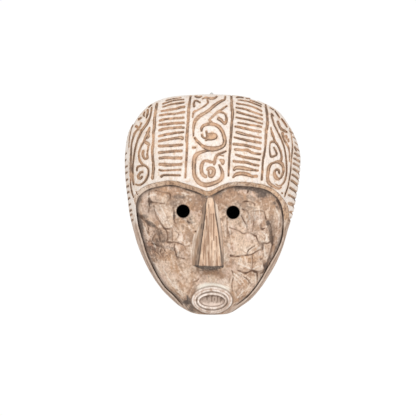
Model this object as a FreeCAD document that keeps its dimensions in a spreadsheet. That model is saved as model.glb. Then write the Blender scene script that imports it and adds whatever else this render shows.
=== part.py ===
"""Carved wooden wall mask with a steel strap hanger.

A single block of timber is carved to a deep domed hood over a recessed, heart-shaped
face with drilled eyes, a wedge nose and an oval mouth at the chin. The back is hollowed
out. A steel strap, screwed into a seat behind the crown, carries a triangular wire ring
in its rolled eye.

Frame: millimetres, +Z up, front of the mask towards -Y, wall plane at Y = 0, X = 0 on the
centre line, Z = 0 at the inside of the ring's apex, where the hook goes. Heights in the
sheet are measured from the underside of the chin, and each piece's Placement carries it
down by hang_height. A depth or front is a distance from the wall plane towards -Y.
"""
import FreeCAD, Part
import math
import os
import Sketcher
from FreeCAD import Placement, Rotation, Vector

# ---------------------------------------------------------------- driving dimensions
# Horizontal sections of the blocks, upwards. Each row holds these columns;
# a roundness of 1 is an ellipse, less is squarer.
COLUMNS = ("level", "half_width_left", "half_width_right", "depth", "roundness")
TABLES = {
    # Outside of the hood and chin.
    "outer": [
        (0.0, 24.0, 24.0, 58.0, 0.92), (4.0, 33.0, 31.5, 62.0, 0.92),
        (10.0, 43.0, 40.5, 65.0, 0.92), (20.0, 55.0, 54.0, 68.0, 0.92),
        (34.0, 68.5, 66.5, 71.0, 0.90), (50.0, 80.0, 77.5, 73.0, 0.90),
        (70.0, 91.0, 89.0, 75.0, 0.90), (92.0, 100.2, 98.2, 78.0, 0.90),
        (114.0, 106.8, 104.4, 83.0, 0.92), (134.0, 111.6, 111.0, 89.0, 0.95),
        (152.0, 114.2, 114.8, 94.0, 0.98), (170.0, 116.4, 118.2, 96.0, 1.0),
        (190.0, 118.2, 121.0, 96.5, 1.0), (210.0, 118.8, 121.8, 94.5, 1.0),
        (230.0, 117.4, 118.6, 89.5, 1.0), (248.0, 113.6, 111.6, 80.5, 1.0),
        (262.0, 106.6, 103.2, 70.0, 1.0), (273.0, 99.0, 95.2, 59.0, 1.0),
        (281.5, 90.6, 85.2, 49.0, 1.0), (288.0, 80.8, 72.6, 40.0, 1.0),
        (293.0, 69.8, 60.4, 32.0, 1.0), (296.5, 56.5, 47.5, 25.0, 1.0),
        (299.0, 35.0, 30.0, 17.0, 1.0), (300.0, 21.0, 18.0, 12.0, 1.0),
    ],
    # Face surface inside the heart-shaped outline.
    "face": [
        (-8.0, 27.0, 27.0, 54.0, 0.85), (4.0, 37.0, 36.0, 58.0, 0.80),
        (20.0, 52.0, 51.0, 61.5, 0.75), (34.0, 65.5, 63.5, 63.0, 0.72),
        (50.0, 77.0, 74.5, 63.5, 0.70), (70.0, 88.0, 86.0, 65.5, 0.70),
        (92.0, 97.0, 95.0, 69.0, 0.70), (114.0, 103.5, 101.5, 73.5, 0.72),
        (134.0, 108.0, 107.5, 79.0, 0.75), (152.0, 111.0, 111.5, 83.0, 0.75),
        (170.0, 112.5, 114.5, 84.5, 0.75), (190.0, 114.0, 116.5, 84.0, 0.75),
        (215.0, 114.0, 116.5, 80.0, 0.75),
    ],
    # Hollow in the back.
    "hollow": [
        (20.0, 22.0, 20.0, 13.0, 0.90), (23.0, 32.5, 30.5, 22.0, 0.88),
        (28.0, 42.0, 40.0, 31.0, 0.85), (37.0, 52.0, 50.0, 40.0, 0.82),
        (50.0, 63.0, 61.0, 46.0, 0.80), (70.0, 74.0, 72.0, 50.0, 0.80),
        (92.0, 83.0, 81.0, 53.5, 0.80), (114.0, 89.5, 87.5, 58.0, 0.80),
        (134.0, 94.5, 94.0, 62.5, 0.80), (152.0, 97.5, 98.0, 66.0, 0.82),
        (170.0, 99.5, 101.0, 68.0, 0.85), (190.0, 100.5, 103.0, 69.0, 0.88),
        (210.0, 99.0, 101.5, 66.0, 0.90), (226.0, 92.5, 94.0, 58.0, 0.90),
        (237.0, 82.0, 82.0, 47.0, 0.90), (244.0, 70.0, 69.0, 36.0, 0.90),
        (248.0, 58.0, 57.0, 26.0, 0.90), (250.0, 44.0, 43.0, 15.0, 0.90),
    ],
}
# Angles round the front at which a section is sampled, in degrees from +X.
SECTION_ANGLES = (0, 7, 16, 27, 40, 55, 72, 90, 108, 125, 140, 153, 164, 173, 180)

# Outline of the sunken face in the front view: x, height.
OUTLINE = [
    (-18.0, -12.0), (-33.0, 3.0), (-45.5, 14.5), (-61.8, 30.8), (-76.2, 51.2), (-86.4, 72.2),
    (-93.8, 91.0), (-99.4, 105.6), (-102.6, 122.0), (-104.2, 136.0), (-103.6, 152.0),
    (-97.5, 165.0), (-86.5, 173.5), (-72.0, 177.8), (-57.0, 179.0), (-42.0, 177.0),
    (-28.0, 171.4), (-14.0, 165.0), (-1.5, 162.4), (12.0, 166.6), (25.0, 174.4),
    (40.0, 178.8), (56.0, 178.2), (71.0, 174.0), (84.5, 165.0), (95.0, 152.5),
    (102.6, 137.0), (101.8, 121.0), (97.0, 101.0), (89.6, 81.5), (78.0, 60.6),
    (64.6, 39.6), (46.5, 20.8), (32.0, 6.0), (18.0, -12.0),
]

# A string is a formula on the aliases above it.
SIZES = {
    # blocks and face cut
    "block_behind_wall": 8.0,
    "face_cut_start": 3.0,
    "face_cut_length": 130.0,
    # eyes
    "eye_radius": 8.7,
    "eye_left_across": -38.4,
    "eye_left_height": 140.2,
    "eye_right_across": 29.0,
    "eye_right_height": 138.6,
    "eye_tool_length": 140.0,
    # nose
    "nose_top_height": 160.0,
    "nose_tip_height": 64.0,
    "nose_top_across": -2.6,
    "nose_tip_across": -1.4,
    "nose_top_half_ridge": 5.6,
    "nose_tip_half_ridge": 16.0,
    "nose_top_half_base": 9.4,
    "nose_tip_half_base": 22.5,
    "nose_top_front": 88.0,
    "nose_tip_front": 97.0,
    "nose_root_depth": 52.0,
    # mouth
    "mouth_across": 0.8,
    "mouth_height": 18.4,
    "lip_half_width": 27.6,
    "lip_half_height": 18.0,
    "lip_front": 76.0,
    "boss_half_width": 33.0,
    "boss_half_height": 22.4,
    "boss_height": 24.0,
    "boss_depth": 34.0,
    "mouth_half_width": 17.4,
    "mouth_half_height": 7.2,
    "mouth_drop": 1.8,
    "mouth_depth": 7.0,
    "mouth_tool_length": 40.0,
    "lip_groove_half_width": 22.0,
    "lip_groove_half_height": 12.4,
    "lip_groove_width": 1.8,
    "lip_groove_depth": 2.0,
    "groove_tool_length": 30.0,
    "groove_core_overrun": 1.0,
    "groove_core_length": 34.0,
    # block that clears everything behind the wall plane
    "wall_block_width": 400.0,
    "wall_block_thickness": 60.0,
    "wall_block_tall": 400.0,
    "wall_block_bottom": -50.0,
    # seat behind the crown
    "seat_width": 24.0,
    "seat_depth": 5.0,
    "seat_bottom": 255.6,
    "seat_top": 306.0,
    "seat_tool_overrun": 10.0,
    # strap: the leaf top ends inside the wall of the rolled barrel
    "strap_width": 10.0,
    "strap_thickness": 1.2,
    "strap_bottom": 258.4,
    "barrel_outer_radius": 2.1,
    "barrel_inner_radius": 0.9,
    "leaf_top_below_bore": 0.35,
    "strap_hole_radius": 1.7,
    "strap_end_radius": 3.0,
    # ring: the barrel round its axis rests on the floor of the seat
    "ring_axis_height": 285.4,
    "ring_axis_depth": "=seat_depth - barrel_outer_radius",
    "ring_wire_radius": 0.8,
    "ring_base_half": 9.0,
    "ring_reach": 16.4,
    "ring_corner_radius": 2.6,
    "ring_tip_radius": 1.5,
    "hang_height": "=ring_axis_height + ring_reach - ring_wire_radius",
    # screws: shares are of the head's height and radius
    "screw_upper_height": 277.2,
    "screw_lower_height": 263.2,
    "screw_shank_radius": 1.4,
    "screw_hole_radius": 1.46,
    "screw_hole_depth": 15.0,
    "screw_length": 14.0,
    "screw_tip_length": 3.0,
    "screw_head_radius": 2.7,
    "screw_head_height": 1.5,
    "screw_rim_share": 0.4,
    "screw_crown_share": 0.7,
    "screw_slot_width": 0.8,
    "screw_slot_depth": 0.8,
    "screw_slot_overrun": 1.0,
}

doc = FreeCAD.newDocument("wall_mask")
sheet = doc.addObject("Spreadsheet::Sheet", "dims")


def fill_sheet():
    """Write every driving dimension to the sheet, one row each, with its alias."""
    entries = {}
    for table, rows in TABLES.items():
        for i, row in enumerate(rows):
            for column, value in zip(COLUMNS, row):
                entries["%s_%s_no_%d" % (table, column, i)] = value
    for i, (x, z) in enumerate(OUTLINE):
        entries["outline_across_no_%d" % i] = x
        entries["outline_height_no_%d" % i] = z
    entries.update(SIZES)
    for number, (alias, value) in enumerate(entries.items(), start=1):
        sheet.set("A%d" % number, alias.replace("_", " "))
        sheet.set("B%d" % number, str(value))
        sheet.setAlias("B%d" % number, alias)
    doc.recompute()


fill_sheet()


def size(alias):
    return float(getattr(sheet, alias))


def bind(obj, **expressions):
    for prop, expression in expressions.items():
        obj.setExpression(prop, expression)


def place(obj, **expressions):
    """Bind the x, y or z of an object's position."""
    for axis, expression in expressions.items():
        obj.setExpression("Placement.Base." + axis, expression)


# ---------------------------------------------------------------- carved block
# Turns local +Z to the front (-Y) and local +Y up.
TO_FRONT = Rotation(Vector(1, 0, 0), 90)


def feature(name, shape):
    obj = doc.addObject("Part::Feature", name)
    obj.Shape = shape
    return obj


def cut(name, base, tool):
    obj = doc.addObject("Part::Cut", name)
    obj.Base = base
    obj.Tool = tool
    return obj


def fuse(name, shapes):
    obj = doc.addObject("Part::MultiFuse", name)
    obj.Shapes = shapes
    return obj


def extrude_forward(name, base, length):
    obj = doc.addObject("Part::Extrusion", name)
    obj.Base = base
    obj.DirMode = "Custom"
    obj.Dir = Vector(0, -1, 0)
    obj.Solid = True
    bind(obj, LengthFwd=length)
    return obj


def closed_spline(points):
    """One spline through the points, closed by a straight line."""
    curve = Part.BSplineCurve()
    curve.interpolate(points)
    return Part.Wire([curve.toShape(), Part.makeLine(points[-1], points[0])])


def section(level, left, right, depth, roundness):
    """Horizontal section, rounded in front and straight behind the wall plane."""
    behind = size("block_behind_wall")
    points = [Vector(right, behind, level)]
    for angle in SECTION_ANGLES:
        cosine = math.cos(math.radians(angle))
        sine = math.sin(math.radians(angle))
        half = right if cosine >= 0 else left
        points.append(Vector(half * cosine, -depth * max(sine, 0.0) ** roundness, level))
    points.append(Vector(-left, behind, level))
    return closed_spline(points)


def block(table):
    """Smooth loft through the sections of one table."""
    wires = []
    for i in range(len(TABLES[table])):
        wires.append(section(*[size("%s_%s_no_%d" % (table, name, i)) for name in COLUMNS]))
    solid = Part.makeLoft(wires, True, False)
    if solid.Volume < 0:
        solid.reverse()
    return feature(table + "_block", solid)


def hood_and_face():
    """Outer block with the outline cut straight in from the front down to the face."""
    outer = block("outer")
    face = block("face")
    points = []
    for i in range(len(OUTLINE)):
        x = size("outline_across_no_%d" % i)
        z = size("outline_height_no_%d" % i)
        points.append(Vector(x, -size("face_cut_start"), z))
    outline = feature("face_outline", closed_spline(points))
    prism = extrude_forward("face_prism", outline, "dims.face_cut_length")
    return cut("hood_and_face", outer, cut("face_cutter", prism, face))


def nose_section(end):
    """Trapezium at the nose's tip or top, wide at the root and narrow on the ridge."""
    height, across, ridge, base, front = [
        size("nose_%s_%s" % (end, name))
        for name in ("height", "across", "half_ridge", "half_base", "front")
    ]
    root = size("nose_root_depth")
    corners = [
        Vector(across - base, -root, height),
        Vector(across + base, -root, height),
        Vector(across + ridge, -front, height),
        Vector(across - ridge, -front, height),
    ]
    return Part.makePolygon(corners + [corners[0]])


def nose_wedge():
    return feature(
        "nose_wedge", Part.makeLoft([nose_section("tip"), nose_section("top")], True, True)
    )


def mouth_ellipse(half_width, half_height, height, depth):
    """Upright elliptical wire on the mouth's centre line, from aliases."""
    ellipse = Part.Ellipse(Vector(0, 0, 0), size(half_width), size(half_height))
    wire = Part.Wire([ellipse.toShape()])
    wire.Placement = Placement(
        Vector(size("mouth_across"), -size(depth), size(height)), TO_FRONT
    )
    return wire


def lips_boss():
    """Protruding lips: an oval boss, wider where it grows out of the face."""
    root = mouth_ellipse("boss_half_width", "boss_half_height", "boss_height", "boss_depth")
    front = mouth_ellipse("lip_half_width", "lip_half_height", "mouth_height", "lip_front")
    return feature("lips", Part.makeLoft([root, front], True, True))


def oval(name, half_width, half_height, drop, start, length):
    """Elliptical block towards the front from depth start, drop below the mouth height."""
    ellipse = doc.addObject("Part::Ellipse", name + "_curve")
    bind(ellipse, MajorRadius=half_width, MinorRadius=half_height)
    ellipse.Placement = Placement(Vector(0, 0, 0), TO_FRONT)
    place(
        ellipse,
        x="dims.mouth_across",
        y="-(%s)" % start,
        z="dims.mouth_height - (%s)" % drop,
    )
    return extrude_forward(name, ellipse, length)


def mouth_tools():
    """The mouth opening and the oval groove round it."""
    mouth = oval(
        "mouth_tool",
        half_width="dims.mouth_half_width",
        half_height="dims.mouth_half_height",
        drop="dims.mouth_drop",
        start="dims.lip_front - dims.mouth_depth",
        length="dims.mouth_tool_length",
    )
    groove_out = oval(
        "groove_out",
        half_width="dims.lip_groove_half_width",
        half_height="dims.lip_groove_half_height",
        drop="dims.mouth_drop / 2",
        start="dims.lip_front - dims.lip_groove_depth",
        length="dims.groove_tool_length",
    )
    groove_in = oval(
        "groove_in",
        half_width="dims.lip_groove_half_width - dims.lip_groove_width",
        half_height="dims.lip_groove_half_height - dims.lip_groove_width",
        drop="dims.mouth_drop / 2",
        start="dims.lip_front - dims.lip_groove_depth - dims.groove_core_overrun",
        length="dims.groove_core_length",
    )
    return [mouth, cut("lip_groove", groove_out, groove_in)]


def drill(name, radius, length, **position):
    """Cylinder running towards the front."""
    tool = doc.addObject("Part::Cylinder", name)
    tool.Placement = Placement(Vector(0, 0, 0), TO_FRONT)
    bind(tool, Radius=radius, Height=length)
    place(tool, **position)
    return tool


def box(name, length, width, height, **position):
    tool = doc.addObject("Part::Box", name)
    bind(tool, Length=length, Width=width, Height=height)
    place(tool, **position)
    return tool


def cutting_tools():
    """Everything taken out of the carved front, as one tool."""
    tools = mouth_tools() + [block("hollow")]
    for side in ("left", "right"):
        tools.append(drill(
            "eye_tool_" + side, "dims.eye_radius", "dims.eye_tool_length",
            x="dims.eye_%s_across" % side,
            z="dims.eye_%s_height" % side,
        ))
    tools.append(box(
        "wall_side",
        "dims.wall_block_width", "dims.wall_block_thickness", "dims.wall_block_tall",
        x="-dims.wall_block_width / 2",
        z="dims.wall_block_bottom",
    ))
    tools.append(box(
        "hanger_seat_tool",
        "dims.seat_width",
        "dims.seat_depth + dims.seat_tool_overrun",
        "dims.seat_top - dims.seat_bottom",
        x="-dims.seat_width / 2",
        y="-dims.seat_depth",
        z="dims.seat_bottom",
    ))
    for which in ("upper", "lower"):
        tools.append(drill(
            "pilot_hole_" + which, "dims.screw_hole_radius", "dims.screw_hole_depth",
            y="-dims.seat_depth",
            z="dims.screw_%s_height" % which,
        ))
    return fuse("cutting_tools", tools)


def make_mask():
    carved = fuse("carved_front", [hood_and_face(), nose_wedge(), lips_boss()])
    mask = cut("mask_body", carved, cutting_tools())
    mask.Label = "mask_body"
    place(mask, z="-dims.hang_height")
    doc.recompute()
    return mask


# ---------------------------------------------------------------- sketch and body helpers
# Sketcher's numbers for the built-in axes and for the points of a curve.
X_AXIS, Y_AXIS = -1, -2
START, END, CENTRE = 1, 2, 3
ORIGIN = (X_AXIS, START)


def new_body(name):
    body = doc.addObject("PartDesign::Body", name)
    body.Label = name
    doc.recompute()
    return body


def add_sketch(body, name, role):
    """Sketch on one of the body's origin planes."""
    plane = next(item for item in body.Origin.OriginFeatures if item.Role == role)
    sketch = body.newObject("Sketcher::SketchObject", name)
    sketch.AttachmentSupport = [(plane, "")]
    sketch.MapMode = "FlatFace"
    return sketch


def constrain(sketch, kind, *geometry):
    sketch.addConstraint(Sketcher.Constraint(kind, *geometry))


def dimension(sketch, kind, geometry, name, expression, start=1.0):
    """Named dimension bound to the sheet; start is its value until the recompute."""
    index = sketch.addConstraint(Sketcher.Constraint(kind, *geometry, start))
    sketch.renameConstraint(index, name)
    sketch.setExpression("Constraints." + name, expression)


def add_polygon(sketch, points):
    """Closed chain of lines joined at their ends."""
    lines = []
    for (x0, y0), (x1, y1) in zip(points, points[1:] + points[:1]):
        segment = Part.LineSegment(Vector(x0, y0, 0), Vector(x1, y1, 0))
        lines.append(sketch.addGeometry(segment, False))
    for line, following in zip(lines, lines[1:] + lines[:1]):
        constrain(sketch, "Coincident", line, END, following, START)
    return lines


def rectangle(sketch, x_low, x_high, y_low, y_high):
    """Rectangle with its four sides bound to expressions, measured from the origin."""
    bottom, right, top, left = add_polygon(sketch, [(-1, -1), (1, -1), (1, 1), (-1, 1)])
    for line in (bottom, top):
        constrain(sketch, "Horizontal", line)
    for line in (right, left):
        constrain(sketch, "Vertical", line)
    dimension(sketch, "DistanceX", (*ORIGIN, bottom, START), "x_low", x_low)
    dimension(sketch, "DistanceX", (*ORIGIN, bottom, END), "x_high", x_high)
    dimension(sketch, "DistanceY", (*ORIGIN, bottom, START), "y_low", y_low)
    dimension(sketch, "DistanceY", (*ORIGIN, top, START), "y_high", y_high)


def circle(sketch, across, height, radius, tag=""):
    """Circle bound to expressions; across is None for a centre on the vertical axis."""
    start_height, start_radius = 5.0, 1.5
    outline = Part.Circle(Vector(0.5, start_height, 0), Vector(0, 0, 1), start_radius)
    index = sketch.addGeometry(outline, False)
    centre = (*ORIGIN, index, CENTRE)
    if across is None:
        constrain(sketch, "PointOnObject", index, CENTRE, Y_AXIS)
    else:
        dimension(sketch, "DistanceX", centre, "across_pos" + tag, across)
    dimension(sketch, "DistanceY", centre, "height_pos" + tag, height, start_height)
    dimension(sketch, "Radius", (index,), "circle_radius" + tag, radius, start_radius)


def pad(body, name, profile, length):
    """Pad to both sides of the sketch plane."""
    obj = body.newObject("PartDesign::Pad", name)
    obj.Profile = profile
    obj.Midplane = True
    bind(obj, Length=length)
    doc.recompute()


def pocket(body, name, profile):
    """Pocket through all, to both sides of the sketch plane."""
    obj = body.newObject("PartDesign::Pocket", name)
    obj.Profile = profile
    obj.Midplane = True
    obj.Type = 1  # through all
    doc.recompute()
    return obj


# ---------------------------------------------------------------- steel hanger
def lower_corner_edges(shape):
    """Names of the short edges across the leaf's thickness at its lower end."""
    bottom = size("strap_bottom")
    names = []
    for number, edge in enumerate(shape.Edges, start=1):
        if edge.Curve.TypeId != "Part::GeomLine" or len(edge.Vertexes) != 2:
            continue
        first, last = [vertex.Point for vertex in edge.Vertexes]
        crosses = abs(abs(first.y - last.y) - size("strap_thickness")) < 1e-6
        if crosses and abs(first.z - bottom) < 1e-6 and abs(last.z - bottom) < 1e-6:
            names.append("Edge%d" % number)
    return names


def make_strap():
    """Flat leaf on the seat with a barrel at the top, bored as an eye for the ring."""
    strap = new_body("hanger_strap")
    # Side views on the YZ plane: sketch x is Y, sketch y is Z.
    leaf = add_sketch(strap, "leaf_profile", "YZ_Plane")
    rectangle(
        leaf,
        x_low="-dims.seat_depth",
        x_high="-dims.seat_depth + dims.strap_thickness",
        y_low="dims.strap_bottom",
        y_high="dims.ring_axis_height - dims.barrel_inner_radius - dims.leaf_top_below_bore",
    )
    pad(strap, "leaf", leaf, "dims.strap_width")
    ring_axis = ("-dims.ring_axis_depth", "dims.ring_axis_height")
    roll = add_sketch(strap, "rolled_eye_profile", "YZ_Plane")
    circle(roll, *ring_axis, "dims.barrel_outer_radius")
    pad(strap, "rolled_eye", roll, "dims.strap_width")
    bore = add_sketch(strap, "eye_bore_profile", "YZ_Plane")
    circle(bore, *ring_axis, "dims.barrel_inner_radius")
    pocket(strap, "eye_bore", bore)

    holes = add_sketch(strap, "screw_holes_profile", "XZ_Plane")
    circle(holes, None, "dims.screw_upper_height", "dims.strap_hole_radius", "_up")
    circle(holes, None, "dims.screw_lower_height", "dims.strap_hole_radius", "_low")
    drilled = pocket(strap, "screw_holes", holes)

    corner_edges = lower_corner_edges(strap.Shape)
    rounded = strap.newObject("PartDesign::Fillet", "leaf_corners")
    rounded.Base = (drilled, corner_edges)
    bind(rounded, Radius="dims.strap_end_radius")
    strap.Tip = rounded
    place(strap, z="-dims.hang_height")
    doc.recompute()
    return strap


def draw_ring_path(path):
    """Closed triangle with rounded corners, base on the ring axis and tip up."""
    corner_radius, tip_radius = size("ring_corner_radius"), size("ring_tip_radius")
    corner = Vector(size("ring_base_half") - corner_radius, corner_radius, 0)
    tip = Vector(0, size("ring_reach") - tip_radius, 0)
    # The right leg is the outer tangent of the corner and tip circles; normal is the
    # angle of its outward normal.
    along = tip - corner
    lean = math.acos((corner_radius - tip_radius) / along.Length)
    normal = math.atan2(along.y, along.x) - lean
    outward = Vector(math.cos(normal), math.sin(normal), 0)
    leg_low = corner + outward * corner_radius
    leg_high = tip + outward * tip_radius

    def mirrored(point):
        return Vector(-point.x, point.y, 0)

    def arc(centre, radius, first, last):
        return Part.ArcOfCircle(Part.Circle(centre, Vector(0, 0, 1), radius), first, last)

    curves = [
        Part.LineSegment(Vector(-corner.x, 0, 0), Vector(corner.x, 0, 0)),
        arc(corner, corner_radius, -math.pi / 2, normal),
        Part.LineSegment(leg_low, leg_high),
        arc(tip, tip_radius, normal, math.pi - normal),
        Part.LineSegment(mirrored(leg_high), mirrored(leg_low)),
        arc(mirrored(corner), corner_radius, math.pi - normal, 1.5 * math.pi),
    ]
    ids = [path.addGeometry(curve, False) for curve in curves]
    for index, following in zip(ids, ids[1:] + ids[:1]):
        constrain(path, "Tangent", index, END, following, START)
    base, right_arc, _, tip_arc, _, left_arc = ids
    constrain(path, "PointOnObject", base, START, X_AXIS)
    constrain(path, "PointOnObject", tip_arc, CENTRE, Y_AXIS)
    constrain(path, "Symmetric", right_arc, CENTRE, left_arc, CENTRE, Y_AXIS)
    for name, index, alias in (
        ("corner_radius", right_arc, "ring_corner_radius"),
        ("corner_radius_b", left_arc, "ring_corner_radius"),
        ("tip_radius", tip_arc, "ring_tip_radius"),
    ):
        dimension(path, "Radius", (index,), name, "dims." + alias, size(alias))
    dimension(
        path, "DistanceX", (*ORIGIN, right_arc, CENTRE), "half_base",
        "dims.ring_base_half - dims.ring_corner_radius", corner.x,
    )
    dimension(
        path, "DistanceY", (*ORIGIN, tip_arc, CENTRE), "tip_reach",
        "dims.ring_reach - dims.ring_tip_radius", tip.y,
    )


def make_ring():
    """Round wire bent to a triangle, standing up from the axis of the rolled eye."""
    ring = new_body("hanger_ring")
    place(ring, y="-dims.ring_axis_depth", z="dims.ring_axis_height - dims.hang_height")
    path = add_sketch(ring, "ring_path", "XZ_Plane")
    draw_ring_path(path)
    doc.recompute()

    wire = add_sketch(ring, "wire_section", "YZ_Plane")
    radius = size("ring_wire_radius")
    index = wire.addGeometry(Part.Circle(Vector(0, 0, 0), Vector(0, 0, 1), radius), False)
    constrain(wire, "Coincident", index, CENTRE, *ORIGIN)
    dimension(wire, "Radius", (index,), "wire", "dims.ring_wire_radius", radius)
    doc.recompute()

    pipe = ring.newObject("PartDesign::AdditivePipe", "bent_wire")
    pipe.Profile = wire
    pipe.Spine = (path, [])
    pipe.Transition = "Round corner"
    ring.Tip = pipe
    doc.recompute()
    return ring


def draw_screw_profile(profile):
    """Half profile from the point at the origin up to the crown of the head."""
    shank, head = size("screw_shank_radius"), size("screw_head_radius")
    tip, under_head = size("screw_tip_length"), size("screw_length")
    rim = under_head + size("screw_head_height") * size("screw_rim_share")
    crown = head * size("screw_crown_share")
    top = under_head + size("screw_head_height")
    point, side, seat, edge, bevel, flat, axis = add_polygon(profile, [
        (0, 0), (shank, tip), (shank, under_head), (head, under_head),
        (head, rim), (crown, top), (0, top),
    ])
    constrain(profile, "Coincident", point, START, *ORIGIN)
    constrain(profile, "PointOnObject", axis, START, Y_AXIS)
    constrain(profile, "Vertical", side)
    constrain(profile, "Horizontal", seat)
    constrain(profile, "Vertical", edge)
    constrain(profile, "Horizontal", flat)
    for kind, line, name, expression, start in (
        ("DistanceX", side, "shank", "dims.screw_shank_radius", shank),
        ("DistanceY", side, "tip", "dims.screw_tip_length", tip),
        ("DistanceY", seat, "under_head", "dims.screw_length", under_head),
        ("DistanceX", edge, "head", "dims.screw_head_radius", head),
        ("DistanceY", bevel, "rim",
         "dims.screw_length + dims.screw_head_height * dims.screw_rim_share", rim),
        ("DistanceX", flat, "crown",
         "dims.screw_head_radius * dims.screw_crown_share", crown),
        ("DistanceY", flat, "top", "dims.screw_length + dims.screw_head_height", top),
    ):
        dimension(profile, kind, (*ORIGIN, line, START), name, expression, start)


def make_screw(which):
    """Slotted screw, turned about its own Z axis and laid over, head towards the wall."""
    name = "hanger_screw_" + which
    body = new_body(name)
    profile = add_sketch(body, name + "_profile", "XZ_Plane")
    draw_screw_profile(profile)
    doc.recompute()
    turned = body.newObject("PartDesign::Revolution", name + "_turned")
    turned.Profile = profile
    turned.ReferenceAxis = (profile, ["V_Axis"])
    turned.Angle = 360.0
    doc.recompute()

    slot = add_sketch(body, name + "_slot_profile", "XZ_Plane")
    top = "dims.screw_length + dims.screw_head_height"
    rectangle(
        slot,
        x_low="-dims.screw_slot_width / 2",
        x_high="dims.screw_slot_width / 2",
        y_low=top + " - dims.screw_slot_depth",
        y_high=top + " + dims.screw_slot_overrun",
    )
    body.Tip = pocket(body, name + "_slot", slot)
    # Local +Z points out of the wood, towards +Y.
    body.Placement = Placement(Vector(0, 0, 0), Rotation(Vector(1, 0, 0), -90))
    place(
        body,
        y="-dims.seat_depth + dims.strap_thickness - dims.screw_length",
        z="dims.screw_%s_height - dims.hang_height" % which,
    )
    doc.recompute()
    return body


pieces = [make_mask(), make_strap(), make_ring(), make_screw("upper"), make_screw("lower")]
doc.recompute()

# ---------------------------------------------------------------- checks and export
failed = [obj.Name for obj in doc.Objects if "Invalid" in obj.State or "Error" in obj.State]
if failed:
    raise SystemExit("objects failed to compute: %s" % failed)
for piece in pieces:
    shape = piece.Shape
    if shape.isNull() or not shape.isValid() or shape.Volume <= 0 or len(shape.Solids) != 1:
        raise SystemExit("%s is not one valid solid" % piece.Label)

os.makedirs("parts", exist_ok=True)
for piece in pieces:
    piece.Shape.exportStep(os.path.join("parts", piece.Label + ".step"))
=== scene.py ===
"""Looks of a carved wooden wall mask, built round its CAD part.

The wooden block is one closed surface, meshed from a distance field: domed hood, sunken
heart-shaped face, wedge nose, oval lips, drilled eyes, hollow back, hanger seat. The hood's
scrolls, ladders and double lines are cut into the field as real relief. The steel hanger
pieces keep their CAD shapes and get their own material.

The front looks along -y, the back lies in the plane y = 0, and left is -x. The tables and the
field are in millimetres, with heights z counted up from the underside of the chin. The
frame's origin, the wall hook's place, is HANG above it. "Depth" is the distance in front of
the back plane.
"""

import bpy
import numpy as np
import openvdb
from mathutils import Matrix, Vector


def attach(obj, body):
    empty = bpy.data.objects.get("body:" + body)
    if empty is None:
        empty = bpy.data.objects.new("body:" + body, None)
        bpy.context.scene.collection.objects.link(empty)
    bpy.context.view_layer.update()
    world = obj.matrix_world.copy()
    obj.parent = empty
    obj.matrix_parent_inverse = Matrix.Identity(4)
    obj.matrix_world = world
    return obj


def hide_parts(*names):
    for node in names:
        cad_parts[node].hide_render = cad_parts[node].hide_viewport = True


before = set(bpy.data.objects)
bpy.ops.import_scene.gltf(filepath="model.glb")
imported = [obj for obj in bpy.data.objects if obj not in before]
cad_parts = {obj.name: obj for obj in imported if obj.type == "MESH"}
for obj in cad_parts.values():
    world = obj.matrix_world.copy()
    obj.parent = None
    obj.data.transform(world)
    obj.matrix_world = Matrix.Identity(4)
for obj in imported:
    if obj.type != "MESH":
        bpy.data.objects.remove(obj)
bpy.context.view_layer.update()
HANG = 301.0
MM = 0.001  # metres
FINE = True
VOXEL = 0.7 if FINE else 1.3
CARVING_STEP = 0.35 if FINE else 0.6
MESH_LOW, MESH_HIGH = np.array([-125.0, -100.0, -3.0]), np.array([127.0, 3.0, 303.0])


# ------------------------------------------------------------------ shape tables
def rows(text):
    """Rows of a table: numbers part at spaces, rows at commas."""
    return [tuple(map(float, row.split())) for row in text.split(",")]


def strokes(text):
    """Strokes of a table, parted by semicolons. Each is a list of rows."""
    return [rows(part) for part in text.split(";")]


# Outlines at each height: height, half width left, half width right, depth, roundness.
OUTER = np.array(rows("""
0 24 24 58 0.92, 4 33 31.5 62 0.92, 10 43 40.5 65 0.92,
20 55 54 68 0.92, 34 68.5 66.5 71 0.90, 50 80 77.5 73 0.90,
70 91 89 75 0.90, 92 100.2 98.2 78 0.90, 114 106.8 104.4 83 0.92,
134 111.6 111 89 0.95, 152 114.2 114.8 94 0.98, 170 116.4 118.2 96 1,
190 118.2 121 96.5 1, 210 118.8 121.8 94.5 1, 230 117.4 118.6 89.5 1,
248 113.6 111.6 80.5 1, 262 106.6 103.2 70 1, 273 99 95.2 59 1,
281.5 90.6 85.2 49 1, 288 80.8 72.6 40 1, 293 69.8 60.4 32 1,
296.5 56.5 47.5 25 1, 299 35 30 17 1, 300 21 18 12 1"""))
FACE = np.array(rows("""
-8 27 27 54 0.85, 4 37 36 58 0.80, 20 52 51 61.5 0.75,
34 65.5 63.5 63 0.72, 50 77 74.5 63.5 0.70, 70 88 86 65.5 0.70,
92 97 95 69 0.70, 114 103.5 101.5 73.5 0.72, 134 108 107.5 79 0.75,
152 111 111.5 83 0.75, 170 112.5 114.5 84.5 0.75, 190 114 116.5 84 0.75,
215 114 116.5 80 0.75"""))
HOLLOW = np.array(rows("""
20 22 20 13 0.90, 23 32.5 30.5 22 0.88, 28 42 40 31 0.85,
37 52 50 40 0.82, 50 63 61 46 0.80, 70 74 72 50 0.80,
92 83 81 53.5 0.80, 114 89.5 87.5 58 0.80, 134 94.5 94 62.5 0.80,
152 97.5 98 66 0.82, 170 99.5 101 68 0.85, 190 100.5 103 69 0.88,
210 99 101.5 66 0.90, 226 92.5 94 58 0.90, 237 82 82 47 0.90,
244 70 69 36 0.90, 248 58 57 26 0.90, 250 44 43 15 0.90"""))
HOLLOW_LOW, HOLLOW_HIGH = HOLLOW[0, 0], HOLLOW[-1, 0]
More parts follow.
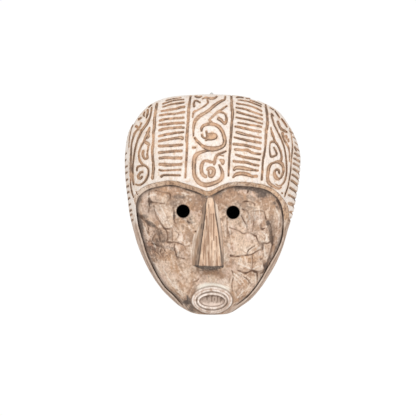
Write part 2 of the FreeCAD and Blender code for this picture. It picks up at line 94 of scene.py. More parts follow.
# Nose: height, left and right edge of its front face, left and right foot of its flanks.
NOSE = np.array(rows("""
62 -17.6 13.9 -26.6 16.6, 72 -16.3 12.9 -26.8 16.6, 88 -14.2 11.3 -26.4 16.4,
104 -12 9.3 -23.6 15.4, 120 -9.8 7.2 -18.9 13.4, 130 -8.4 5.4 -15.9 12,
140 -7.4 3.8 -13.7 10.4, 150 -6.9 3.2 -11.9 8.8, 160 -4.8 1.2 -8 5"""))
# Width of the slanted wall right of the middle: height, width.
RIGHT_BEVEL = np.array(rows("90 1.6, 103 2.2, 114 3.2, 122 5.8, 130 9.2, 148 9.2, 158 6.8, 168 6.6"))
EYES = ((-38.4, 140.2), (29.0, 138.6))
EYE_R = 8.7
# Ellipses of the mouth: centre x, z, half width, half height.
LIP = (0.6, 19.6, 26.4, 17.2)
LIP_GROOVE = (0.6, 19.0, 20.8, 12.2)
LIP_LINE = (0.6, 19.6, 24.4, 15.4)
MOUTH_CUP = (0.8, 19.0, 17.6, 8.2)
# Line at the foot of the brow's bevel and inside the jaw's rim: x, z.
CREASE = rows("""
-18.5 -11.6, -32.7 2.7, -41.1 13.7, -51.4 25.3, -63.7 37, -73.3 51.4,
-81.2 66.4, -87.5 80.1, -92.5 96.6, -95.8 108.9, -99.1 121.2, -101.2 134.9,
-101.9 145.2, -100.7 154.1, -96.6 161.2, -90.4 166.5, -84.3 169.5, -77.4 171.7,
-70.6 173, -63.7 174.4, -56.9 174.9, -50 174.4, -43.2 172.8, -36.3 170.6,
-29.5 168.5, -22.6 166.2, -16.4 164, -11.1 161.5, -7 159.9, -3.2 159.7,
1.2 161.5, 6.7 164.5, 13 168.1, 19.9 171.1, 28.1 173, 36.3 173.6,
45.9 173.3, 54.1 172.6, 62.3 171.2, 70.6 169.5, 78.1 166.2, 84.3 161.7,
89.7 156.3, 93.6 149.2, 96 140.7, 97.3 130.8, 97.5 119.2, 96.3 106.9,
92.7 93.8, 87.3 82.2, 80.4 70.6, 72.7 56.9, 65.3 44.5, 56.9 32.9,
47.3 22.6, 34.2 12.3, 24 3.4, 17.1 -11.6""")
# Stroke tables: x, z, width. First the pale fibres and chips on the face.
FIBRES = strokes("""
6.2 149.3 2.2, 8.1 137.7 3.3, 9.7 125.4 2.7, 12.5 113 1.9;
-7.3 159.1 2.2, -5.1 159.9 2.5; -28.9 156.2 3.2, -28.4 156.3 3.2;
-22.6 47.3 2.1, -22.1 47.3 2.1; 23.2 96 3.6, 24 91.1 2.7;
-22.6 109.6 1.8, -24.5 98 2.2, -26.4 87 2.1, -27.8 76 1.4;
57.7 138.4 2.1, 58.8 132.2 2.7, 58.2 126.7 1.6;
63.7 144.5 1.1, 65.3 134.9 1.6, 64.5 122.6 1.5;
50.8 136.3 1.1, 52.2 126.7 1.6, 52.2 117.1 1.2;
45.2 133.6 1.1, 47.3 122.6 1.4, 48.6 115.8 1.1;
86.7 143.9 1.8, 90.3 136.3 2.5, 91.7 129.5 1.6;
59 56.2 1.4, 59.6 45.9 1.6, 59.3 37 1.2;
64.5 56.2 1.2, 64 48.6 1.4, 62.9 41.8 1.1;
30.3 56 1.1, 37 50 1.2, 43.2 43.7 1;
33 58 1.1, 41.2 52.2 1.2, 48.9 45.6 1;
29.2 51.6 1, 34.7 46.4 1.2, 39.9 41 1;
37.7 57.4 1, 44.3 53.8 1.1, 51.4 48.9 1;
36.3 69.7 1.9, 43.8 66.4 2.7, 51.6 62.9 1.6;
56 62.1 1.9, 61.5 64.3 2.5, 67.8 67.5 1.4;
49.2 83.7 1.6, 54.9 89.5 2.5, 62.6 93.8 1.4;
69.5 111.7 2.2, 74.1 106.7 3.6, 75.2 100 2.2;
71.1 92.5 1.6, 72.7 84.3 2.2, 72.2 76 1.4;
-77.4 144.5 1.2, -72.2 136.3 1.9, -65.9 128.1 1.6;
-69.7 147.3 1.6, -65.3 139.6 2.5, -61.5 130.8 1.6;
-87 158.8 1.9, -82.1 161.8 3, -74.7 162.3 1.9;
-91.7 119.9 1.4, -88.9 112.5 2.2, -86.2 104.8 1.4;
-81 100.7 1.1, -78.5 96.6 1.6, -75.5 90.3 1.1;
-48.4 92.5 1.4, -45.3 87 2.2, -45.1 80.1 1.4;
-57.4 124.5 1.2, -54.7 121.2 1.5, -52.7 117.1 1;
-41.5 113 1.2, -39.9 106.2 1.6, -41 99.3 1.1;
-60.7 51.4 1.6, -56 45.3 2.5, -51.9 38.5 1.4;
-78.8 70.6 1.4, -74.1 63.7 2.1, -69.2 56.9 1.4;
-66.4 62.3 1.1, -61.5 55.5 1.5, -57.7 49.2 1.1;
-48.1 39 1.2, -43.4 32.2 1.6, -38.8 26.2 1.1;
-88.6 79.3 1.2, -85.1 74.1 1.8, -81.8 68.6 1.2;
43.2 32.7 1.6, 39.6 28.1 2.2, 34.9 22.9 1.4;
52.2 41 1.2, 49.5 35.8 1.5, 45.6 30 1.1;
19.9 145.1 1.1, 24 142.6 1.4, 28.9 143.7 1.1;
-47.5 165.4 1.1, -38.2 164.3 1.6, -28.1 161.8 1.1;
2.1 161.5 1.2, 10.3 165.4 1.8, 19.9 168.1 1.1;
16.6 128.6 1.2, 17.9 117.1 1.6, 18.8 106.2 1.1;
23.4 119.1 1.1, 24.8 110.3 1.4, 24.8 102.6 1.1""")
# The hood's carving, with the width at the top of each cut.
CARVING = strokes("""
-28.5 297 2.6, -29.8 288.3 3.3, -31 277 4, -31.6 263.1 3.6, -32.6 249.4 3.6,
-33.4 238.5 4.2, -33.1 229 3.3, -33.6 215.4 3.1, -34.4 202 2.9, -35.2 185.2 2.4;
27 297.9 2.9, 27.3 288.3 3.6, 27.8 279.8 4, 28.4 272.1 4.3, 27.7 263.1 3.6,
26.9 253.5 3.6, 26.2 242.5 3.3, 25.4 233 3.5, 24.8 222.2 3.1, 23.8 212.7 2.9,
23.3 201.9 2.7, 22.6 187.8 2.4;
-21.8 296.5 2.9, -18 295.4 3.3, -13.7 296.6 2.4;
-12.3 293.1 2, -7.5 294.8 2.9, -2.1 293.7 3.8, 3.4 294 3.6, 7.2 296.4 2.4;
-23.5 282.6 3.8, -24 286.9 2.6, -22.5 290.3 2.6, -19.4 290.1 2.9, -15.4 287.7 2.2;
-5.6 291.7 2.4, -4.7 287.9 2.7, -7.5 284.5 2.2, -12.9 280.5 2.2, -18.4 277.3 2.2,
-23.5 274.9 3.3, -25.1 270.7 2.4, -25.6 266.6 1.7;
18.8 296.2 2.4, 17.4 291.8 3.1, 12.9 289.7 3.8, 7.4 286.1 4.3, 2 281.9 4.7,
-3.4 276.9 4.7, -8.9 273.2 4.7, -14.3 270 4.7, -19 266.3 4.9, -22.4 261.4 4.5,
-24 255.5 3.8, -24.4 249.3 3.1, -24.5 241.8 2.2;
20.7 282.9 2.4, 16.2 279.8 2.9, 12.1 276.7 3.1, 6.7 272.9 3.5, 2 268.6 3.1,
-3 263.7 3.1;
6.7 273.2 2.7, 10.8 274.3 3.1, 14.8 273.6 3.1, 18.2 271.4 2.7, 20 267.2 3.1,
19.9 262.4 3.8, 18.2 258.9 4.5, 15.2 260.3 3.8, 12.5 263.5 4.9, 9.8 265 5.2;
-13.6 248.6 2.9, -12.9 253.2 4.2, -9.7 256.3 4.2, -4.4 257.5 4.2, 1 257.8 4.9,
6.3 256.2 5.2, 11.4 252.3 5.2, 14.9 246.6 5.1, 17 239.8 5.4, 17.8 233.7 5.2,
15.9 228.5 5.2, 11.3 225.7 5.6, 5.3 224 6.7, -1.2 223.9 7, -7.2 225.3 5.9,
-12.5 228.1 4.2, -16.2 231.6 3.8, -19.9 235 3.8, -22.4 238.7 3.1;
-2.8 263.3 2.7, -0.1 259.9 3.8;
-4.5 243 4.9, -0.1 241.7 8.4, 3.7 241.1 8.8, 0.6 239.8 8.8, -4 238.7 6.7;
-7 247.5 3.1, -6.3 243.8 3.1, -5.9 237.7 3.8, -7.5 235.7 2.7;
-6.4 238.1 3.1, -9.4 238.5 2.9, -12.1 240.3 3.3, -13.3 243 2.6;
-25.1 225.3 2.9, -22.2 225.7 2.9;
-3.5 221.3 2.4, -8.8 220.8 3.6, -15.3 218.9 4.5, -20.1 216.2 5.6, -22.8 211.9 5.9,
-23.3 206.7 5.6, -23.8 199.3 5.2, -23.5 191.2 5.2, -21.7 184.7 5.2, -18.2 180 5.9,
-12.9 176.5 6.3, -5.9 175.4 6.3, 1.9 177.3 5.9, 8.6 180.1 5.2, 13.2 183.9 5.4,
14.4 189.8 4.9, 13.8 194.8 4.3, 11.9 198.6 3.3, 10 202.2 2.4;
19.1 220.7 2.4, 14 218.5 2.9, 9.5 216.7 3.3, 6.2 214 3.5, 4.9 210 3.5, 4.1 206 4.5,
3.3 203.5 3.6;
3.3 205.6 3.1, -0.8 206.2 3.5, -4.8 207.6 3.8, -9.4 207.7 3.5, -12.2 204.6 4.7,
-13.7 199.2 4.9, -13.7 193.9 4.7, -11.5 189.1 4.9, -7.8 186.7 4.3;
-5.7 196.1 3.3, -3.5 197.9 4.2, 0.6 197.9 4.9, 3.3 195.2 4.9, 2.5 190.5 5.4,
-0.1 187.7 5.6, -2.9 187.4 3.5, -3.7 191.2 2.9, -4 194.5 2.4;
-18.5 183.1 3.6, -17.8 182 3.6;
11.9 209.2 2.9, 14.8 207 5.9, 15.1 203.5 3.1;
10.7 215.5 1.9, 16 214.6 1.9;
-66.1 286.2 2.6, -59.3 288.6 2.2, -51.1 291.1 2.2, -38.2 292.4 2.2;
-62.1 290.9 1.7, -52.6 293.5 1.7, -41.6 295.1 1.7;
-66.1 282.2 2.4, -56.5 285 2.4, -47 286.6 2.9, -38.1 287.7 2.9;
-68 276 2.7, -59.1 277.6 2.9, -48.3 279.1 3.1, -41.5 281.3 3.5, -37.4 281.8 3.6;
-70 270.4 2.7, -59.1 271.7 2.9, -48.2 272.3 2.9, -42.8 273.6 2.7, -37.3 274.5 3.8;
-69.9 263 3.1, -63.1 264.8 3.1, -53.6 265.6 3.1, -38 266.8 2.9;
-70.5 257.1 3.3, -61.6 257.8 3.5, -49.4 259.1 3.6, -37.9 259.4 3.6;
-70.4 249.7 3.5, -63 251.5 3.5, -53.5 252.5 3.5, -45.3 253.2 3.3, -37.9 253 3.5;
-71 241.5 3.1, -61.5 243.7 3.5, -50.7 245.4 3.1, -38.5 246.8 3.1;
-71 234.7 3.3, -61.5 236.5 3.5, -50.7 238.2 3.6, -42.6 239.3 4.2, -39.4 238.5 4.9;
-70.7 227.9 3.8, -56 228.4 3.6, -39.8 229.5 3.5;
-70.5 219.3 3.8, -61.4 219.9 3.6, -50.6 220.9 3.5, -40.5 221.4 3.6;
-69.8 211.6 3.8, -62.8 212.4 3.8, -53.3 211.8 4, -41.1 211.7 4.2;
-69.8 203.5 4, -62.8 202.8 4.7, -53.3 202.4 4, -41.1 203.3 3.6;
-70.5 195.9 2.7, -65.5 194.8 2.7, -53.3 195.4 2.2, -41.8 195.8 2.6;
-67.5 186.9 3.6, -64.8 188.6 2.9, -56 188.8 2.9, -42.5 188.3 2.7;
-74.4 286.8 3.1, -75 283.9 3.6, -75.6 279 3.6, -76.5 273.3 3.5, -77.3 266.4 4,
-77.6 258 4.2, -77.9 250.5 4, -78.8 244.3 3.6, -78.5 237.5 3.1, -79.4 229.3 3.6,
-80.1 221.2 3.6, -79.4 213 3.5, -78.7 204.9 3.5, -78.3 199.5 4, -78.8 192.7 3.8,
-79.8 184.7 4.2;
-81.7 281.2 2.6, -82.5 273.5 2.7, -84.3 266.5 2.9, -87.3 259.6 3.8, -91 254.2 3.8,
-95.1 248.7 3.5, -98.1 241.9 3.1, -100.8 235.1 2.7, -102.9 228.3 2.6, -104.5 220.2 2.7,
-105.6 212 2.7, -106.7 203.9 2.6, -107 195.8 2.7, -106.7 186.3 2.7, -105.9 176.7 2.7;
-86.8 277.9 3.5, -87.3 272.2 3.3, -88.6 267.3 2.2;
-91.1 275.2 2.4, -92.4 272.1 2.7, -91.6 269.5 2;
-84 253.3 2.6, -85.6 247.8 3.8, -88 242.8 4.3, -90.2 237.7 3.5, -92.9 232.2 2.9,
-95.6 227.5 2.7, -97.5 222.8 2.7, -98.6 217.4 2.7, -98.1 211.9 2.9, -96.2 207.1 3.3,
-92.8 203 3.3, -88.7 200.9 2.9, -85.5 196.9 2.7, -85.1 191.4 2.7, -86.9 185.4 3.1,
-90 180.7 2.9, -94.5 176.6 2.7, -99.7 175.6 2.4, -102.8 176.7 2;
-87.1 246.5 4.2, -85.7 241 3.8, -87.7 239 2.7;
-85.6 227.6 2.6, -86.1 222.6 2.4, -87 217.9 2.4, -86.6 212.7 3.5, -89.4 210.8 3.1,
-92 213.2 3.5, -93.1 217.3 4, -92.4 221.3 3.3;
-101.1 195 2.2, -100.8 199.1 2.9, -97.6 201.3 2.6, -93.5 201.5 2;
-93.7 193.1 2.9, -96.2 192.4 3.1, -98.5 189.5 3.6, -99.2 185.8 3.8, -96.2 184.5 3.6,
-94.2 186.8 3.1;
-95.3 259.8 2.2, -98 254.3 2.6, -102.1 249.6 2.6, -105.1 244.9 3.3, -107.2 238.1 2.7,
-108.9 231.2 2.4, -109.6 221.7 2, -110.2 212.2 1.9, -110.7 201.3 1.9, -110.4 189 1.9,
-110 176.8 1.9, -108.6 168.6 2.2, -106.1 159.1 2;
-98.9 265.6 3.6, -95.9 267.3 2.4; -102.6 255.6 3.6, -101.2 254.7 4.2;
-85.7 281.7 2, -82 285.2 2; -102.1 166.5 1.7, -100.3 162.5 1.7;
-91 234.1 2.6, -87.9 232.7 4.9, -84.6 230.2 3.8;
-89.7 281.8 1.1, -98.6 272.8 1.5, -105.4 261.7 1.5, -109.8 250.7 1.5, -112 238.3 1.5,
-112.6 227.3 1.3;
-108.4 232.6 1.3, -108.7 223 1.3, -108.8 209.4 1.3, -108.8 195.8 1.3, -108.3 182.2 1.3;
34.5 295.3 2.6, 38.9 296 2.9, 43 295.1 2.2;
47.1 294.4 1.7, 55.4 293.3 1.9, 62.2 291 1.7;
36.1 291.6 2, 47 290.3 2.2, 57.9 286.8 2.2, 67.4 282.9 2.2;
52.5 291.2 1.7, 62.1 288.3 1.7, 68.2 285.7 1.7;
34.6 286.5 2.7, 42.8 285.3 2.6, 52.3 283.2 2.4, 61.9 279.5 2.6, 68 276.1 2.7;
33.6 280.8 2.7, 42.7 279.2 2.7, 50.9 276.8 2.9, 59 273.8 2.4, 68.5 270.4 2.7;
35.2 274.5 3.6, 42.6 272.2 3.1, 52.1 269.5 2.9, 61.7 266.9 2.7, 68.5 264.9 3.1;
33.5 267 2.7, 42.6 265.3 2.7, 52.1 263.3 2.7, 60.2 260.9 2.4, 68.4 258.9 2.6;
35.8 259.7 2.4, 43.9 258.4 2.6, 52 256.7 2.7, 60.2 255.8 2.7, 67 254.5 3.1;
32.3 254.5 3.1, 38.4 253.3 3.5, 46.5 251.4 3.5, 54.7 249.5 3.5, 66.2 247.6 3.5;
34.3 246.6 4, 42.4 244.2 4, 49.2 242.6 3.3, 57.3 240.9 2.7, 66.8 239 2.7;
30.9 239.6 2.6, 38.3 237.8 3.1, 49.1 235.4 3.5, 57.3 233.9 3.3, 66.1 232.3 3.3;
29.9 230.6 3.6, 38.3 229.7 3.6, 47.8 228.4 3.6, 55.9 226.4 3.6, 65.4 224.1 3.8;
31.9 223.3 3.5, 41 222.5 3.5, 47.7 222.4 4.2, 53.1 219.6 3.5, 58.6 217.9 3.1,
65.3 217.2 3.1;
32.9 216.1 2.7, 38.3 214.4 3.5, 46.4 212.4 3.6, 54.5 211.1 3.5, 64.6 209.4 2.7;
29.8 207.3 3.1, 38.3 206.4 3.6, 47.7 205.4 3.6, 55.8 203 3.1, 63.3 201.7 3.1;
30.6 195.9 3.6, 32.9 198.3 4.9, 38.2 198.6 5.6, 46.3 197.3 5.2, 54.5 196 3.5,
62.3 194.7 2.9;
29.1 185.8 2.9, 32.9 189.6 4.7, 40.9 190.9 5.4, 49 189.2 5.1, 54.4 187.2 3.8,
60.5 187.2 4;
73.9 285.1 2.4, 74.5 280 2.9, 75.2 274.3 3.3, 75.8 265.9 3.3, 75.6 257.6 4.2,
74.1 249.2 3.8, 73.4 241 3.5, 73 232.8 2.9, 72.2 224.6 2.7, 70.8 216.5 3.1,
69.4 208.9 2.9, 68.7 200.8 2.7, 68.3 192.7 3.1, 67.6 182.6 2.9;
84.1 269.9 1.9, 81.7 272.5 2.4, 82.3 267.4 2.4, 83.3 263.3 2.6, 85.5 256.4 2.4,
88.9 249.5 2.4, 92.2 242.7 2.4, 95.6 235.2 2.4, 98.3 227.7 2.4, 100 219.6 2.4,
100.9 211.4 2.4, 101.6 203.3 2.4, 101.8 195.2 2.4, 100.8 187 2.6, 98.5 180.2 2.7,
94.7 175.6 2.4, 90.6 174.5 1.9, 87.1 176.6 1.7;
94 185.2 2.6, 95.9 189.4 3.3, 97.2 194.4 3.8, 96.9 199.8 3.8, 94.8 204.3 5.1,
90.3 206.8 5.1, 85.2 205.8 2.9, 80.7 204 3.5, 77.5 199.7 4.5, 76.4 193.6 4.5,
75.5 186.8 4.2, 76.5 180.1 4.9, 80.3 175.8 4.7, 85.8 172.6 4.3, 90.3 170.7 3.3,
94 172.3 2.4;
80.4 253.5 2, 81.3 248 3.1, 83 243.2 3.5, 84.6 238.4 2.9, 85.9 234.3 3.5,
89.3 229.6 3.1, 92 224.2 2.9, 94.1 218.1 3.1, 94.7 212.7 3.3, 93.7 208.6 4.2;
85.9 233.7 2.9, 81.4 234 3.1, 79 230.8 1.9, 78.6 224.7 1.7, 79 217.9 2.6,
80.6 213.9 3.3, 84.4 214.6 2.9, 87.7 216.4 2.9, 87.6 220.1 3.1, 85.8 223.4 2.6,
84.2 226.4 2.4;
91.5 191.9 2.9, 90.8 195 3.3, 88.2 196.6 3.1, 85.7 194.3 3.5, 85.1 190.3 4.3,
86.7 186.1 5.2, 89.9 183.7 4, 92.6 184.5 2.6;
90.2 261.6 3.6, 91.8 257.9 3.1, 93.5 253.8 3.6, 97.2 250.4 3.5, 101.9 247.8 3.3;
96.6 245.9 3.8, 97.5 240 3.1, 99.8 234.6 3.1, 103.2 229.2 3.3, 105.2 223.8 2.4,
105.9 215.6 2, 106.1 207.4 1.7;
101.3 241.8 4.3, 101.9 239.1 3.5; 104.3 237.5 3.1, 104.8 234.7 2.6;
106.6 253 1.5, 108.5 246 1.7, 109.3 239 1.7, 109.9 233.5 1.7, 110.1 228 2,
109.4 219.8 2, 108.6 211.6 2, 107.9 203.4 1.9, 107.4 195.2 1.9, 106.1 187.1 1.9,
104.6 178.9 2, 103.1 172.1 2, 100.5 165.3 2, 99.2 159.9 2;
95.2 165 2, 95.9 164 2;
86.7 276.9 2, 89.8 271.9 2.4, 92.7 267.8 2;
80.3 281.4 1.9, 84.3 278.5 2;
95.5 265.8 2.7, 99.6 260.3 3.1, 103 254.8 2.2;
113.2 227.4 2.9, 114.4 225.6 2.9, 115.6 223 2.9;
113.4 218.8 3.1, 115.7 217.6 3.1, 118 215.5 3.1;
112.2 211.9 2.9, 115.7 210.2 2.9, 119.4 207.8 2.9;
111.4 204.8 3.1, 115.8 203.1 3.1, 120.4 200.6 3.1;
111.2 197.6 3.3, 116 194.9 3.3, 121.2 191.6 3.3;
110 189.8 2.9, 114.7 186.7 2.9, 119.7 182.8 2.9;
108.8 181.7 3.6, 113 178.9 3.6, 117.4 175.3 3.6;
107 171.8 3.3, 111.8 168.8 3.3, 116.9 165.1 3.3;
105.2 162.1 3.1, 110.5 159.2 3.1, 116.2 155.6 3.1;
105.6 150.4 4.2, 110 148.9 4.2, 114.8 146.6 4.2;
107.2 139 3.3, 109.8 138.5 3.3, 112.8 137.2 3.3;
107.7 129.7 3.1, 109 128.7 3.1, 110.3 126.8 3.1""")
# Cracks in the face.
CRACKS = strokes("""
-84.3 153.3 5, -80.1 152.1 3.2, -73.3 151.4 2, -66.4 150.6 1.9, -63.7 150.4 1.5;
-84.3 167.1 1.9, -84.9 159.6 2, -84.3 153.4 2.8, -84.5 147.3 1.9, -84.9 139.1 1.5;
-78.1 147.3 1.9, -76.7 139.1 2, -74.3 132.2 2, -70.6 126.7 2.2, -67.1 121.2 2.4,
-63.7 116.7 3.2, -59.6 116.2 2.6, -54.8 116.6 2.6, -52.2 118.8 1.9;
-51.8 144.5 3.2, -51 137.7 2.4, -50.7 130.8 3, -49.6 124.8 2, -47.5 123.4 1.3;
-62.3 115.8 2, -60.1 110.3 2, -59.6 103.4 2.2, -60.3 98.6 2.8, -55.5 98.2 3.3,
-50 98 2.6, -43.2 96.6 2, -37.7 93.8 1.9, -34.9 88.4 1.5;
-50 95.9 2.4, -50.7 89.7 2, -48.6 84.3 2, -47.3 78.8 2.4, -40.4 76.7 1.7, -37 76 1.9;
-53.3 115.8 2, -53 107.5 1.9, -53.4 99.3 1.9;
-100 135.6 5.7, -93.2 130.8 5, -88.4 125.4 3.9, -82.9 120.6 3.9, -76 118.1 4.3,
-73.3 111.7 3.5, -70.6 104.8 3.2, -69.5 99.3 2;
-81.5 96.6 2.4, -73.3 93.6 3.3, -66.4 91.1 2.4, -63 86.3 1.9;
-80.1 88 2, -73.3 83.6 2.6, -69.2 78.1 2;
-73.3 111.2 2, -78.1 106.2 1.7, -80.8 99.3 1.7;
-88.4 125.4 2, -85.6 117.1 1.7, -87 108.9 1.5;
-66.4 91.1 1.9, -69.5 85.6 1.9, -67.8 80.1 1.7;
-76 168.5 1.7, -66.4 165.8 1.5, -56.9 163.7 2.8, -55.5 156.9 2.4;
-48.6 113 1.7, -44.5 108.9 1.5, -46.6 103.4 1.7;
-32.9 127.3 1.9, -30.8 124.8 2.4, -28.8 125.4 1.5;
-21.9 113 2.4, -19.2 111.7 1.9;
-24 44.5 1.9, -19.9 45.9 2, -17.8 48.6 1.7;
41.8 151.7 2.4, 45.9 153.6 2.4, 51.4 152.8 2, 56.9 150.7 2.4, 58.2 147.3 1.5;
41.8 142.8 2.8, 47.3 140.4 2, 50.7 134.9 1.7, 51.6 128.1 1.3;
40.4 133.6 1.9, 43.8 126.7 1.9, 47.3 121.2 1.9, 48.6 115.1 1.7, 49.3 111.7 2;
24 118.1 1.9, 30.8 115.8 1.9, 37.7 113 1.9, 43.2 109.6 2, 48.6 111.4 2.8,
52.7 110.3 2.4, 59.2 106.7 3.2;
56.9 140.4 1.7, 58 130.8 1.7, 56.2 121.2 1.5, 55.5 113 1.3;
57.5 139.5 1.7, 63.7 140.6 1.7, 69.9 139.7 1.9, 71.9 136.3 1.9, 74 128.1 2.8,
76.4 122.6 5, 79.5 117.1 3.9, 80.1 110.3 5, 81.5 102.1 5.4, 82.3 95.9 2.8;
60.3 106.9 2.2, 62.3 100.7 2.2, 65.8 96.6 4.3, 68.4 92.5 4.6, 68.9 88.8 2.8;
70.6 97.3 2.2, 76 96.6 2.2, 80.1 99.3 2.2;
66.4 120.8 3.2, 68.2 115.8 3.2, 71.9 116.9 1.9;
48.4 82.2 2.2, 50 87 2.2, 54.1 90.4 2, 58.2 92.5 1.9;
26 80.1 3.5, 33.6 78.8 2.4, 41.8 80.1 2, 48.6 80.8 2.2, 54.1 81.5 2.2, 59.6 84.9 2,
65.1 87.7 2, 68.5 89.1 2.2;
54.8 81.5 1.9, 55.5 73.3 1.7, 55.5 63.7 1.7, 54.8 59.6 2.4;
34.9 60.6 1.9, 40.4 58.2 2.8, 45.9 56.2 3.2, 51.4 58.2 2, 55.5 59.6 3.3, 61 57.4 4.1,
67.8 57.5 4.5, 71.2 60.3 3.2;
27.4 59.6 2, 29.5 51.4 1.9, 27.4 41.8 1.7, 28.1 32.2 1.5;
71.2 71.9 4.3, 72.6 66.4 5.7, 74.7 61 5;
82.9 95.2 2.8, 80.8 87 2.8, 78.4 78.8 3, 76 70.6 3.2, 74.7 62.3 3.2;
61.7 56.2 2.6, 62.3 50 2.6, 62.3 43.8 2;
72.6 55.5 2.8, 71.2 50 3.2, 67.8 43.2 3.2, 65.8 37.7 2;
88.4 154.8 3.2, 92.5 148.6 4.3, 96 140.4 4.3, 97 133.6 2.4;
49.3 167.8 3.2, 48 164.4 1.7;
43.2 51.4 1.7, 48.6 47.3 1.9, 52.7 41.8 1.7;
97.5 119.9 2.6, 97 110.3 3, 95.2 99.3 3;
20.6 130.8 1.7, 21 117.1 1.7, 22.3 106.2 1.5;
23.3 111.7 1.7, 24.2 103.4 1.7""")
# Grain lines down the front of the nose.
NOSE_GRAIN = strokes("""
-3.7 148.6 1.8, -3.4 136.3 2.3, -4.4 122.6 2.7, -4.4 106.2 2.9, -4.5 92.5 2.9,
-3.8 78.8 2.5, -3 65.8 2.7;
2.5 136.3 1.8, 2.9 122.6 2, 2.6 111.7 1.8, 2.9 100.7 1.4;
-7.8 119.9 1.4, -8.9 106.2 1.8, -10 92.5 1.6, -10.8 78.8 1.6, -11.6 65.8 2.3;
0.7 100.7 1.4, 0 87 1.8, -0.3 76 2, -0.7 65.8 2.9;
6.2 106.2 1.4, 7 92.5 1.8, 7 78.8 2, 7.5 65.8 2.5;
4.5 87 1.4, 4.5 76 1.6, 4.4 65.8 2.2;
-6.7 133.6 1.3, -6.7 119.9 1.6, -7.5 100.7 1.4, -7.5 81.5 1.6, -7.3 65.8 2.5;
-0.7 136.3 1.3, -0.7 119.9 1.4, -1.1 106.2 1.3;
11 78.8 1.6, 11.6 70.6 3, 12.7 65.8 3.8;
2.1 73.3 1.3, 2.1 65.8 2""")
# Heights of the bars in the ladders on the two sides.
LEFT_BARS = (127.0, 134.4, 140.3, 148.3, 156.5, 165.0, 173.0, 182.2, 191.8,
             200.0, 208.9, 217.8, 225.6, 233.5, 241.0, 248.0, 254.5, 260.5)
RIGHT_BARS = (127.4, 137.6, 147.0, 155.8, 165.2, 175.6, 183.2, 191.4,
              201.0, 208.9, 216.4, 224.3, 232.5, 240.5, 248.0)


# ------------------------------------------------------------------ small maths
def rise(start, end, x):
    """Smooth step from 0 at start to 1 at end. With start above end it falls with x."""
    t = np.clip((x - start) / (end - start), 0.0, 1.0)
    return t * t * (3.0 - 2.0 * t)


def band(x, at, width):
    """Soft bump, 1 at a place and gone about two widths away."""
    return np.exp(-(((x - at) / width) ** 2))


def smax(a, b, blend):
    """Maximum, rounded where the two are within a blend of each other."""
    h = np.clip(0.5 + 0.5 * (a - b) / blend, 0.0, 1.0)
    return b + (a - b) * h + blend * h * (1.0 - h)


def smin(a, b, blend):
    return -smax(-a, -b, blend)


def slopes(xs, ys):
    """Monotone cubic slopes, so that the tables are followed without overshoot."""
    h = np.diff(xs)
    m = np.diff(ys) / h
    out = np.zeros_like(ys)
    out[0], out[-1] = m[0], m[-1]
    for i in range(1, len(ys) - 1):
        if m[i - 1] * m[i] > 0:
            before, after = 2 * h[i] + h[i - 1], h[i] + 2 * h[i - 1]
            out[i] = (before + after) / (before / m[i - 1] + after / m[i])
    return out


def curve_at(xs, ys, x):
    """Value and slope of a smooth curve through a table's column."""
    s = slopes(xs, ys)
    x = np.clip(x, xs[0], xs[-1])
    i = np.clip(np.searchsorted(xs, x) - 1, 0, len(xs) - 2)
    h = xs[i + 1] - xs[i]
    t = (x - xs[i]) / h
    a, b, sa, sb = ys[i], ys[i + 1], s[i] * h, s[i + 1] * h
    square, cube = 3 * (b - a) - 2 * sa - sb, 2 * (a - b) + sa + sb
    return a + t * (sa + t * (square + t * cube)), (sa + t * (2 * square + 3 * t * cube)) / h


def outline_at(table, x, z):
    """Half width on the point's own side, depth and roundness, each with its slope along z."""
    left, right, depth, roundness = [curve_at(table[:, 0], table[:, k], z) for k in (1, 2, 3, 4)]
    width = [np.where(x >= 0, r, l) for l, r in zip(left, right)]
    return width, depth, roundness


def shell(table, x, y, z):
    """Distance in mm from the surface a table describes, negative inside."""
    (width, width_slope), (deep, deep_slope), (roundness, _) = outline_at(table, x, z)
    u = np.abs(x) / width
    v = np.maximum(-y, 0.0) / deep
    power = 2.0 / roundness
    vp = v**power
    grad_x = 2.0 * u / width
    grad_y = power * vp / np.maximum(v, 1e-3) / deep
    grad_z = -2.0 * u * u * width_slope / width - power * vp * deep_slope / deep
    return (u * u + vp - 1.0) / np.sqrt(
        grad_x * grad_x + grad_y * grad_y + grad_z * grad_z + (0.45 / deep) ** 2
    )


def depth_of(table, x, z):
    """How far in front of the back plane a table's surface stands."""
    (width, _), (deep, _), (roundness, _) = outline_at(table, x, z)
    u = np.abs(x) / width
    return deep * np.maximum(1.0 - u * u, 0.0) ** (roundness / 2.0)


def lattice(ix, iy, iz, seed):
    """Hashed value between -1 and 1 for each lattice point."""
    h = (ix * 374761393 + iy * 668265263 + iz * 2147483647 + seed * 974634777) & 0xFFFFFFFF
    h = ((h ^ (h >> 13)) * 1274126177) & 0xFFFFFFFF
    return ((h ^ (h >> 16)) & 0xFFFF) / 32767.5 - 1.0


def noise(x, y, z, scale, seed, stretch=(1.0, 1.0, 1.0)):
    """Smooth value noise between -1 and 1, with a wavelength of about scale mm."""
    cells = [np.asarray(c, float) / (scale * s) + 100.0 for c, s in zip((x, y, z), stretch)]
    cells = np.broadcast_arrays(*cells)
    ix, iy, iz = whole = [np.floor(c).astype(np.int64) for c in cells]
    parts = [c - i for c, i in zip(cells, whole)]
    fx, fy, fz = (c * c * (3 - 2 * c) for c in parts)
    out = 0.0
    for a in (0, 1):
        for b in (0, 1):
            for c in (0, 1):
                out = out + lattice(ix + a, iy + b, iz + c, seed) * (
                    (fx if a else 1 - fx) * (fy if b else 1 - fy) * (fz if c else 1 - fz)
                )
    return out


